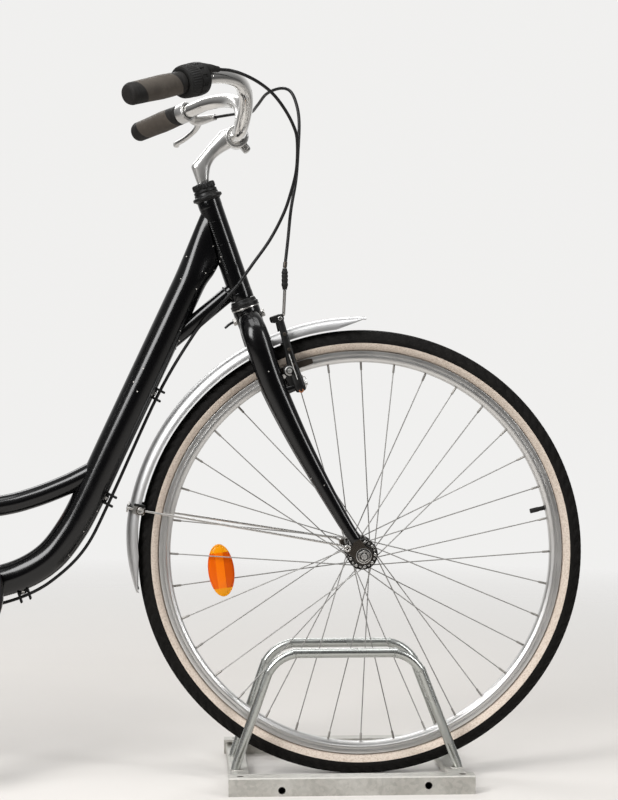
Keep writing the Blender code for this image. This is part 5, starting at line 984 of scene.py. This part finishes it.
def buildFrame():
    joint = steerPoint(bike["headTop"] - 52) - crankAxle
    point = lambda a, b: crankAxle + (a * joint[0], 0, b * joint[2])
    shapes = lathe(frameSet["head"], steerPoint(bike["headBottom"]), steerUp, 56, size=0.6, closed=True)
    fine = smoothLine([(337.8, 0, 844), (294.5, 0, 752.3)] + [point(*shares) for shares in pairs(frameSet["main"])], 16)
    shapes += mainTube(fine)
    seam = np.linspace(30, 118, 120)
    for side in (1, -1):
        beads = [steerPoint(bike["headTop"] - a, -9.5, side * 16.4) for a in seam]
        shapes += tube(beads, 1.5 * (1 + 0.35 * np.abs(np.sin(seam * 0.9))), 12, 1)
    shapes += lathe([13.9, 0, 16.5, 0, 16.5, 440, 13.9, 440], crankAxle, seatUp, 40, closed=True)
    knot, stayTop = seatPoint(125), seatPoint(400)
    shapes += tube(frameSet["upper"] + [knot], 16, 36, 10)
    braceStart, braceEnd = steerPoint(bike["headBottom"] + 22), point(0.765, 0.660)
    shapes += tube([braceStart, braceEnd], 12.5, 32, 1)
    lean, back = unit(braceEnd - braceStart), unit(np.subtract(frameSet["upper"][-1], knot))
    shapes += weld(braceStart + lean * 20, lean, 12.4) + weld(braceEnd - lean * 29, lean, 12.6)
    shapes += weld(knot + back * 18, back, 16) + weld(seatPoint(21.5), seatUp, 16.6)
    for along in (34, 72):
        shapes += lathe([17.8, -0.6, 18.9, 0, 17.8, 0.6], steerPoint(bike["headTop"] - along), steerUp, 48, size=0)
    shapes += lathe(frameSet["cup"], crankAxle, left, 56, size=0.6, closed=True)
    for side in (1, -1):
        shapes += tube(stayLine(crankAxle, rearAxle, side, frameSet["chainStay"]), 9, 24, 9)
        shapes += tube(stayLine(stayTop, rearAxle, side, frameSet["seatStay"]), 6.5, 24, 9)
        shapes += dropout(rearAxle, left * side, 65, (75, 120, 160))
    for foot, shares in ((crankAxle, frameSet["chainStay"]), (stayTop, frameSet["seatStay"])):
        middle, spread = rearAxle + unit(foot - rearAxle) * 375.3, left * shares[3] * 65
        shapes += tube([middle - spread, middle + spread], 5, 20, 1)
    for index in (4, 5, 8):
        shapes += guide(fine, index)
    bracketEnd = standPivot + standAxis * 11.3
    bracket = [rearAxle + (27.3, 68, -6.3), bracketEnd + standAxis * 11.2, bracketEnd]
    shapes += tube(bracket, 8, 28, 1)
    piece("bikeFrame", shapes, [paint, blackPlastic, steel], "frame", 34, "frame")


saddleSet = dict(length=262, half=106.5, high=60.5, base=seatPoint(620) + (-20, 0, 45), rail=3.5)
# shares of the saddle's length, half width and height; then of its length, the rails' gap and their rise
saddleShares = [(0, 0.50, 0.60), (0.07, 0.90, 0.92), (0.26, 1, 1), (0.44, 0.80, 0.92), (0.62, 0.44, 0.86),
                (0.80, 0.27, 0.82), (0.94, 0.22, 0.74), (1, 0.12, 0.45)]
railShares = np.array([(0.44, 0.22, 0.955), (0.40, 0.27, 0.975), (0.33, 0.45, 0.62), (0.18, 0.95, 0.05), (0, 1, 0),
                       (-0.16, 1, 0), (-0.26, 1.5, 0.6), (-0.32, 1.85, 0.975), (-0.37, 2, 0.955)])


# rows across the saddle: |cos|^p · width by |sin|^q · height, eased at both ends and creased in the middle
def saddleSkin():
    s, base, turn = saddleSet, saddleSet["base"], np.linspace(0, 2 * pi, 65)
    along, wide, tall = (column[:, None] for column in smoothLine(saddleShares, 9).T)
    across, low = signed(np.cos(turn), 0.78), np.sin(turn) < 0
    high = np.where(np.sin(turn) > 0, np.abs(np.sin(turn)) ** 0.62, 0)
    trim = np.clip(np.minimum(along / 0.035, (1 - along) / 0.03), 0, 1) ** 0.5
    crease = 1 - 0.05 * np.exp(-(across / 0.10) ** 2) * np.exp(-((along - 0.30) / 0.22) ** 2)
    grid = np.stack([base[0] + (along - 0.5) * s["length"] + 0 * across,
                     across * (1 - 0.06 * low) * wide * (0.35 + 0.65 * trim) * s["half"],
                     base[2] + 0.5 + high * tall * (0.30 + 0.70 * trim) * s["high"] * crease], -1)
    ends = [np.broadcast_to(row.mean(axis=0), (1, 65, 3)) for row in (grid[0], grid[-1])]
    return sheet(np.concatenate([ends[0], grid, ends[1]]))


def buildSeat():
    post = [0, 360, 13.6, 360, 13.6, 614, 12.8, 619, 0, 619.5]
    piece("seatPost", lathe(post, crankAxle, seatUp, 40, size=0.6), satin, "frame")
    ring = lathe([16.8, -9, 20, -9, 20.5, -8, 20.5, 8, 20, 9, 16.8, 9], seatPoint(427), seatUp, size=0.5, closed=True)
    piece("seatClamp", ring, blackPlastic, "frame")
    pad = piece("saddle", saddleSkin(), saddleCover, "frame", 60)
    base, rail = saddleSet["base"], saddleSet["rail"]
    low, high = seatPoint(620)[2] - 3.3, base[2] - bike["gap"] - rail
    shapes = []
    for side in (1, -1):
        line = railShares * (265, side * 22, high - low) + (base[0], 0, low)
        shapes += tube(line, rail, 18, 9)
    clamp = seatPoint(620) * (1, 0, 0) + up * low
    shapes += box(clamp, (44, 21, 57), slot=1, corner=5, bevel=2)
    for out in (left, -left):
        shapes += hexNut(clamp + out * 28, out, 6.2, 0.4)
    piece("saddleFrame", shapes, [steel, darkSteel], "frame")


carrierSet = dict(half=60, length=360, ahead=175, high=770, wire=5, cross=(0.12, 0.42, 0.72), stays=(0.35, 0.62))


def buildCarrier():
    c = carrierSet
    half, r, front, z = c["half"], c["wire"], rearAxle[0] + c["ahead"], c["high"]
    rear, at = front - c["length"], lambda x, y: np.array((x, y, z), float)
    loop = [at(front, half * 0.35), at(front - half * 0.4, half), at(rear + half * 0.5, half), at(rear, half * 0.6)]
    loop = rounded(np.vstack([loop, np.multiply(loop, (1, -1, 1))[::-1]]), 14, True)
    shapes = tube(loop[:-1], r, 20, 1) + tube([at(front, -half * 0.35), at(front, half * 0.35)], r, 20, 1)
    for x in [front - c["length"] * share for share in c["cross"]]:
        shapes += tube([at(x, -half), at(x, half)], r * 0.8, 16, 1)
    shapes += tube([at(front - 43.2, 0), at(rear, 0)], r * 0.8, 16, 1)
    for out in (left, -left):
        foot = around(rearAxle, 28, radians(92)) + out * 75.3
        for share in c["stays"]:
            shapes += tube([at(front - c["length"] * share, 0) + out * half, foot], r * 0.8, 16, 1)
        shapes += lathe([0, -4, 7.6, -4, 8, 4, 0, 4], foot, out, 28, size=0.6) + bolt(foot + out * 3.8, out, 4.2, 2.2, 1)
    shapes += tube([at(front, 0), seatPoint(400) - (21.8, 0, 0)], r * 0.9, 18, 1)
    piece("rearCarrier", shapes, [paint, steel], "frame")
    lamp = np.array((rear - r - 13.3, 0, 758))
    shapes = box(lamp + (7.5, 0, 0), (99, 33, 10.5), left, up, 1, 10, 2)
    shapes += box(lamp - (5.2, 0, 0), (98.5, 32.5, 15), left, up, 0, 10, 4.2)
    piece("tailLamp", shapes, [redLens, blackPlastic], "frame")


driveSet = dict(line=48, pitch=12.7, ring=38, cog=18, crank=170, inner=68, thick=13, pedal=(85.5, 20.3, 5.6))
ringRadius, cogRadius = (driveSet["pitch"] / (2 * sin(pi / driveSet[k])) for k in ("ring", "cog"))
toCog = rearAxle - crankAxle
cogDistance, cogHeading = hypot(toCog[0], toCog[2]), atan2(toCog[2], toCog[0])
opening = acos((ringRadius - cogRadius) / cogDistance)


# pins a pitch apart on the loop round ring and cog, and a pair of waisted plates between neighbours
def buildChain():
    arcs = [(crankAxle, ringRadius, cogHeading + opening + (2 * pi - 2 * opening) * np.linspace(0, 1, 120)),
            (rearAxle, cogRadius, cogHeading - opening + 2 * opening * np.linspace(0, 1, 60))]
    line = np.vstack([polar(radius, turn) + axle[[0, 2]] for axle, radius, turn in arcs])
    line = np.vstack([line, line[:1]])
    length = runLength(line)
    where = np.linspace(0, length[-1], 2 * round(length[-1] / driveSet["pitch"] / 2), endpoint=False)
    pins = np.column_stack([np.interp(where, length, line[:, 0]), 0 * where - driveSet["line"],
                            np.interp(where, length, line[:, 1])])
    shapes, cap = [], polar(3.9, np.linspace(-pi / 2, pi / 2, 5))
    for k, (a, b) in enumerate(zip(pins, np.roll(pins, -1, axis=0))):
        reach = (np.linalg.norm(b - a) / 2, 0)
        outline = np.vstack([cap + reach, [(0, 3)], -cap - reach, [(0, -3)]])
        for y in (3.2, -3.2) if k % 2 else (2.2, -2.2):
            shapes += slab(outline, 1, flatFrame((a + b) / 2 + left * y, b - a, np.cross(b - a, left)), 0, 0.2)
        shapes += lathe([0, -3.8, 1.7, -3.8, 1.7, 3.8, 0, 3.8], a, left, 8, 1, 0)
    piece("driveChain", shapes, [darkSteel, steel], "frame", node="chain")


def toothed(radius, teeth):
    turn = np.linspace(0, 2 * pi, teeth * 10, endpoint=False)
    return polar(radius + 2.1 * np.clip(1.5 * np.cos(teeth * turn) - 0.15, -1.2, 0.95), turn)


def buildDrive():
    line, outer = left * -driveSet["line"], toothed(ringRadius, driveSet["ring"])
    place = flatFrame(crankAxle + line)
    shapes = slab(outer, 2.1, place, 0, 0.4, unit(outer) * ringRadius * 0.79)
    shapes += slab(polar(ringRadius * 0.49, np.linspace(0, 2 * pi, 60, endpoint=False)), 2, place, 0, 0.4)
    for k in range(5):
        way = heading(2 * pi * (k + 0.5) / 5)
        shapes += box(crankAxle + line + way * ringRadius * 0.64, (ringRadius * 0.36, 13.5, 1.9), way,
                      np.cross(left, way), 0, 1, 0.4)
        shapes += bolt(crankAxle + line - left * 0.9 + way * ringRadius * 0.42, -left, 4, 1.8, 1)
    boss = [8.8, 47, 16, 47, 16, 66.5, 15, 67.5, 8.8, 67.5]
    shapes += lathe(boss, crankAxle, -left, 40, size=0.5, closed=True)
    piece("chainRing", shapes, [satin, steel], "cranks", node="chainring")
    outer = toothed(cogRadius, driveSet["cog"])
    shapes = slab(outer, 2.1, flatFrame(rearAxle + line), 0, 0.4, unit(outer) * 6)
    boss = [6, 40.7, 22, 40.7, 22.2, 53, 21.2, 53.8, 6, 53.8]
    shapes += lathe(boss, rearAxle, -left, 48, size=0.6, closed=True)
    piece("rearCog", shapes, darkSteel, "rear_wheel", node="sprocket")
    spindle = lathe([0, -67.5, 8.4, -67.5, 8.4, 67.5, 0, 67.5], crankAxle, left, 28, size=0.6)
    piece("crankSpindle", spindle, steel, "cranks")
    buildCrank("right", -left, -up)
    buildCrank("left", left, up)


# flat arm with round ends, and a pedal of two treads between side plates on its axle
def buildCrank(word, out, way):
    d, middle = driveSet, (driveSet["inner"] + driveSet["thick"] / 2)
    outline = np.vstack([polar(14.4, np.linspace(pi / 2, 3 * pi / 2, 20)),
                         polar(11.4, np.linspace(-pi / 2, pi / 2, 18)) + (d["crank"], 0)])
    centre = crankAxle + out * middle
    shapes = slab(outline, 12.8, flatFrame(centre, way, np.cross(left, way)), 0, 3)
    shapes += lathe([0, 0.6, 4, 0.8, 9.2, 0.2, 10, -1, 0, -1], centre + out * 6.2, out, 32, 1, 0.4)
    tip = centre + way * d["crank"]
    shapes += lathe([0, 0, 8, 0, 8, 9, 5, 10, 5, 79, 0, 79.5], tip, out, 28, 1, 0.5)
    piece("crank" + word.title(), shapes, [satin, steel], "cranks")
    middle = tip + out * (d["thick"] / 2 + 47)
    shapes = lathe([6.2, -39.5, 9.8, -39.5, 9.8, 39.5, 6.2, 39.5], middle, left, 32, closed=True)
    shapes += lathe([0, 30, 9.6, 30, 9.6, 38, 0, 40], middle, out, 28, 0, 0.6)
    for y in (40, -40):
        shapes += box(middle + left * y, d["pedal"], corner=6, bevel=1.2)
    for end in (1, -1):
        tread = middle + (end * 35, 0, 0)
        shapes += box(tread, (20.5, 22.5, 78), corner=3, bevel=1)
        for x in (-6.8, 0, 6.8):
            for z in (11.5, -11.5):
                shapes += box(tread + (x, 0, z), (3.6, 2.8, 77), slot=1, corner=1, bevel=0.6)
        shapes += box(tread + (end * 10, 0, 0), (52, 13.5, 1.6), left, up, 2, 2, 0.4)
    piece("pedal" + word.title(), shapes, [blackPlastic, blackRubber, amber], "pedal_" + word,
          node="pedal_%s_body" % word)


chainGuardSet = dict(offset=13, sweep=190, back=1.05, drop=36, window=28, face=-61, lip=(-61.8, -38.6), wall=1.9, arm=60)


# plate with a window round the axle, a tail over the upper run, and a lip that stands in from its rim
def buildChainGuard():
    g, axle = chainGuardSet, crankAxle[[0, 2]]
    top, flat = cogHeading - opening, lambda angle: heading(angle)[[0, 2]]
    normal, run = flat(top), flat(top + pi / 2)
    run = run if run @ toCog[[0, 2]] > 0 else -run
    arc = axle + polar(ringRadius + g["offset"], top - radians(g["sweep"]) * np.linspace(0, 1, 60))
    above = arc[0] + run * ringRadius * g["back"]
    joint = above - normal * g["drop"]
    between = lambda a, b, count, last=None: (a + (b - a) * np.linspace(0, 1, count)[:, None])[1:last]
    outline = np.vstack([arc, between(arc[-1], joint, 14), between(joint, above, 6), between(above, arc[0], 12, -1)])
    place = flatFrame(left * g["face"])
    shapes = slab(outline, 2, place, 0, 0.5, axle + g["window"] * unit(outline - axle))
    rearTop = arc[0] + run * (sqrt(cogDistance ** 2 - (ringRadius - cogRadius) ** 2) - 100)
    tail = [above - run * 2, rearTop, rearTop - normal * g["drop"], joint - run * 2]
    shapes += slab(rounded(tail, 6, True)[:-1], 1.9, place, 0, 0.5)
    inner = axle + unit(arc - axle) * (ringRadius + g["offset"] - g["wall"])
    lines = [np.vstack([arc[::-1], rearTop]), np.vstack([inner[::-1], rearTop - normal * g["wall"]])]
    near, far = g["lip"]
    band = np.stack([np.column_stack([lines[k][:, 0], np.full(len(arc) + 1, y), lines[k][:, 1]])
                     for k, y in ((0, near), (0, far), (1, far), (1, near), (0, near))])
    pinch = band[:-1].mean(axis=0)
    ends = [np.broadcast_to(pinch[k], (5, 1, 3)) for k in (0, -1)]
    shapes += sheet(np.concatenate([ends[0], band, ends[1]], axis=1))
    way, near, far = heading(radians(g["arm"])), 14.7, ringRadius + 12
    shapes += box(crankAxle - left * 38.5 + way * (near + far) / 2, (far - near, 11.8, 2.8), way, np.cross(left, way),
                  0, 3, 0.5)
    ring = [11.1, 34.4, 20.9, 34.4, 20.9, 39.9, 11.1, 39.9]
    shapes += lathe(ring, crankAxle, -left, 44, size=0.5, closed=True)
    shapes += bolt(crankAxle - left * 39.8 + way * 30, -left, 4, 2.4, 1)
    piece("chainGuard", shapes, [blackPlastic, steel], "frame", 30)


def buildRearSmall():
    inner, outer = 41.3, 64.7
    cap = [5.1, inner, 23.6, inner, 24, inner + 1, 24, inner + 9, 22.8, inner + 10, 15.5, inner + 10.4,
           15.5, outer - 1, 14.8, outer, 5.1, outer]
    towards = unit(crankAxle - rearAxle)
    below = np.cross(left, towards)
    start, end = rearAxle + left * 46.3 + below * 16.8, rearAxle + towards * 150 + left * 55.9 + below * 12.3
    shapes = lathe(cap, rearAxle, left, 56, size=0.6, closed=True) + tube([start, (start + end) / 2, end], 3, 24, 4)
    piece("coasterArm", shapes, satin, "frame")
    ring = [5.1, 58.7, 15, 58.7, 15.5, 59.2, 15.5, 64.2, 15, 64.7, 5.1, 64.7]
    end, towards = frameRoute[-1], unit(frameRoute[-1] - frameRoute[-2])
    link = [end + towards * 0.3, end + towards * 4, rearAxle - left * 61.7 - up * 10.8]
    shapes = lathe(ring, rearAxle, -left, 44, size=0.5, closed=True) + tube(link, 3, 18, 4)
    piece("shiftJoint", shapes, blackPlastic, "frame")
    leg = unit(np.array((-1, 0.02, 0.01)))
    barrel = [0, -11, 11.8, -11, 13, -9.8, 13, 9.8, 11.8, 11, 0, 11]
    shapes = lathe(barrel, standPivot, standAxis, 40, size=0.6)
    shapes += tube([standPivot + leg * along for along in (0, 157, 283)], [8.5, 7.7, 6.8], 28, 6)
    shapes += tube([standPivot + leg * along for along in (255, 259, 281, 285)], [9.2, 10.6, 10.6, 8.8], 28, 4, slot=1)
    shapes += bolt(standPivot - standAxis * 10.5, -standAxis, 6, 0.4, 2)
    piece("sideStand", shapes, [paint, blackRubber, steel], "side_stand")


# half the gap between the hoops, their height, the radius of their bends, and the channel's ends
standSet = dict(apart=56, top=198.5, bend=56, rear=360, front=732, foot=18.4, straight=26.8)


def buildStand():
    s, rear, front = standSet, standSet["rear"], standSet["front"]
    rail = [[170, 0, 170, 26.2, 168.2, 28, 140, 28], [166.5, 0, 166.5, 23.8, 165.8, 24.5, 140, 24.5]]
    holeShadeDisc = [0, 0.2, 4.6, 0.2, 5.2, 0.5, 5.6, 0.2, 5.6, -1, 0, -1]
    shapes = []
    for side in (1, -1):
        outer, inner = (pairs(edge) * (side, 1) for edge in rail)
        shapes += shell(outer, inner, lambda p, t: np.column_stack([np.full(len(p), t), p]),
                        np.linspace(rear, front, 12))
        for x in (rear + 18, front - 18):
            shapes += bolt((x, side * 155, 28), up, 5.2, 0.2, 1, False)
        # painted shade: each hole in a rail's side is a black disc standing for the shade inside it
        for x, high in ((rear + 80, 9), (front - 71, 14)):
            shapes += lathe(holeShadeDisc, (x, side * 169.8, high), left * side, 32, 2, 0)
    channel = [[3.5, 3.5, 3.5, 16.5, 5, 18, 32, 18, 33.5, 16.5, 33.5, 3.5],
               [7, 3.5, 7, 14, 7.5, 14.5, 29.5, 14.5, 30, 14, 30, 3.5]]
    for edge, way in ((rear, 1), (front, -1)):
        outer, inner = (pairs(line) * (way, 1) + (edge, 0) for line in channel)
        shapes += shell(outer, inner, lambda p, t: np.column_stack([p[:, 0], np.full(len(p), t), p[:, 1]]),
                        np.linspace(-168, 168, 12))
        for side in (1, -1):
            shapes += weld(np.array((edge + way * 15, side * s["apart"], 18.2)), up, 8.6, 1.4, 18)
    piece("standBase", shapes, [galvanised, darkSteel, blackRubber], "front_end", 30)
    for word, side in (("right", -1), ("left", 1)):
        at, low, corners = (lambda x, z: (x, side * s["apart"], z)), s["top"] - s["bend"], []
        for foot, way, slope in ((rear + 15, 1, radians(71)), (front - 15, -1, radians(69))):
            rise = low + s["bend"] * cos(slope) - s["straight"]
            middle = foot + way * (rise / tan(slope) + s["bend"] * sin(slope))
            bend = [at(middle - way * s["bend"] * sin(t), low + s["bend"] * cos(t)) for t in np.linspace(slope, 0, 12)]
            corners.append([at(foot, s["foot"]), at(foot, s["straight"])] + bend)
        hoop = tube(corners[0] + corners[1][::-1], 7.4, 28, 2, bevel=0.4)
        piece("standHoop" + word.title(), hoop, zincTube, "front_end", 30)


mudguard("front", frontAxle, "front_end", 120, (0.13, 0.16))
mudguard("rear", rearAxle, "frame", 220, (0, 0.16))
stays("frontStays", frontAxle, 100, 155, 168.6, "front_end")
stays("rearStaysUpper", rearAxle, 130, 120, 150, "frame")
stays("rearStaysLower", rearAxle, 130, 160, 186, "frame")
buildFrame()
buildSeat()
buildCarrier()
buildChain()
buildDrive()
buildChainGuard()
buildRearSmall()
buildStand()
print("frame, drive and stand done")


def place(thing, at, target):
    bpy.context.scene.collection.objects.link(thing)
    thing.location = at
    thing.rotation_euler = (Vector(target) - Vector(at)).to_track_quat("-Z", "Y").to_euler()


# the floor fades out with the distance from the middle
floorMade = bpy.data.meshes.new("floor")
floorMade.from_pydata([(-5, -5, 0), (5, -5, 0), (5, 5, 0), (-5, 5, 0)], [], [(0, 1, 2, 3)])
floorThing = bpy.data.objects.new("floor", floorMade)
bpy.context.scene.collection.objects.link(floorThing)
t = finish("floorPaint", studio["floor"], 0.75)
fromMiddle = t.add("VectorMath", {0: t.coords()}, operation="LENGTH").outputs["Value"]
floorShader = t.tree.nodes["Principled BSDF"].inputs
t.link(t.blend(t.use(cloud, 3.0, 0.2, 0.9), studio["floor"], tuple(c * 0.975 for c in studio["floor"])),
       floorShader["Base Color"])
t.link(t.remap(fromMiddle, 1.1, 3.2, 1.0, 0.0), floorShader["Alpha"])
floorMade.materials.append(t.made)

# the room is darker behind the camera and low down; the camera sees an even pale wall, and so do metal
# and glass where they face it
world = bpy.data.worlds.new("studio")
bpy.context.scene.world = world
world.use_nodes = True
t = Nodes(world.node_tree)
plain, out = (t.tree.nodes[name] for name in ("Background", "World Output"))
facing = t.add("SeparateXYZ", {0: t.coords("Generated")}).outputs
room = t.blend(t.remap(t.scaled(facing[1], 0.55, facing[2]), -0.35, 0.95), studio["low"], studio["high"])
t.link(room, plain.inputs["Color"])
plain.inputs["Strength"].default_value = studio["world"]
seen = t.add("Background", {"Color": (*studio["wall"], 1), "Strength": 1.0})
way = t.add("LightPath").outputs
mirror = t.times(t.larger(way["Is Glossy Ray"], way["Is Transmission Ray"]), t.remap(facing[1], 0.45, 0.95))
pick = t.add("MixShader", {0: t.larger(way["Is Camera Ray"], mirror), 1: plain.outputs[0], 2: seen.outputs[0]})
t.tree.links.new(pick.outputs[0], out.inputs["Surface"])

# place, target, width, height in metres and power in watts
for name, at, target, width, height, power in (
        ("keyLight", (-1.9, -2.4, 2.6), (0.2, 0, 0.6), 1.5, 2.6, 148),
        ("fillLight", (3.0, -2.0, 2.0), (0.4, 0, 0.6), 0.6, 2.4, 48),
        ("rearLight", (-0.4, 2.8, 2.8), (0, 0, 0.6), 3.0, 1.0, 44),
        ("topLight", (0.3, -0.4, 3.4), (0.2, 0, 0.3), 2.6, 1.2, 40)):
    lamp = bpy.data.lights.new(name, "AREA")
    lamp.shape, lamp.size, lamp.size_y, lamp.energy = "RECTANGLE", width, height, power
    place(bpy.data.objects.new(name, lamp), at, target)

cameraData = bpy.data.cameras.new("photoCamera")
cameraData.lens, cameraData.sensor_width, cameraData.sensor_fit = view["lens"], view["sensor"], "HORIZONTAL"
camera = bpy.data.objects.new("photoCamera", cameraData)
place(camera, view["place"], view["target"])
bpy.context.scene.camera = camera
bpy.context.scene.view_settings.view_transform = "Standard"

print("scene done")
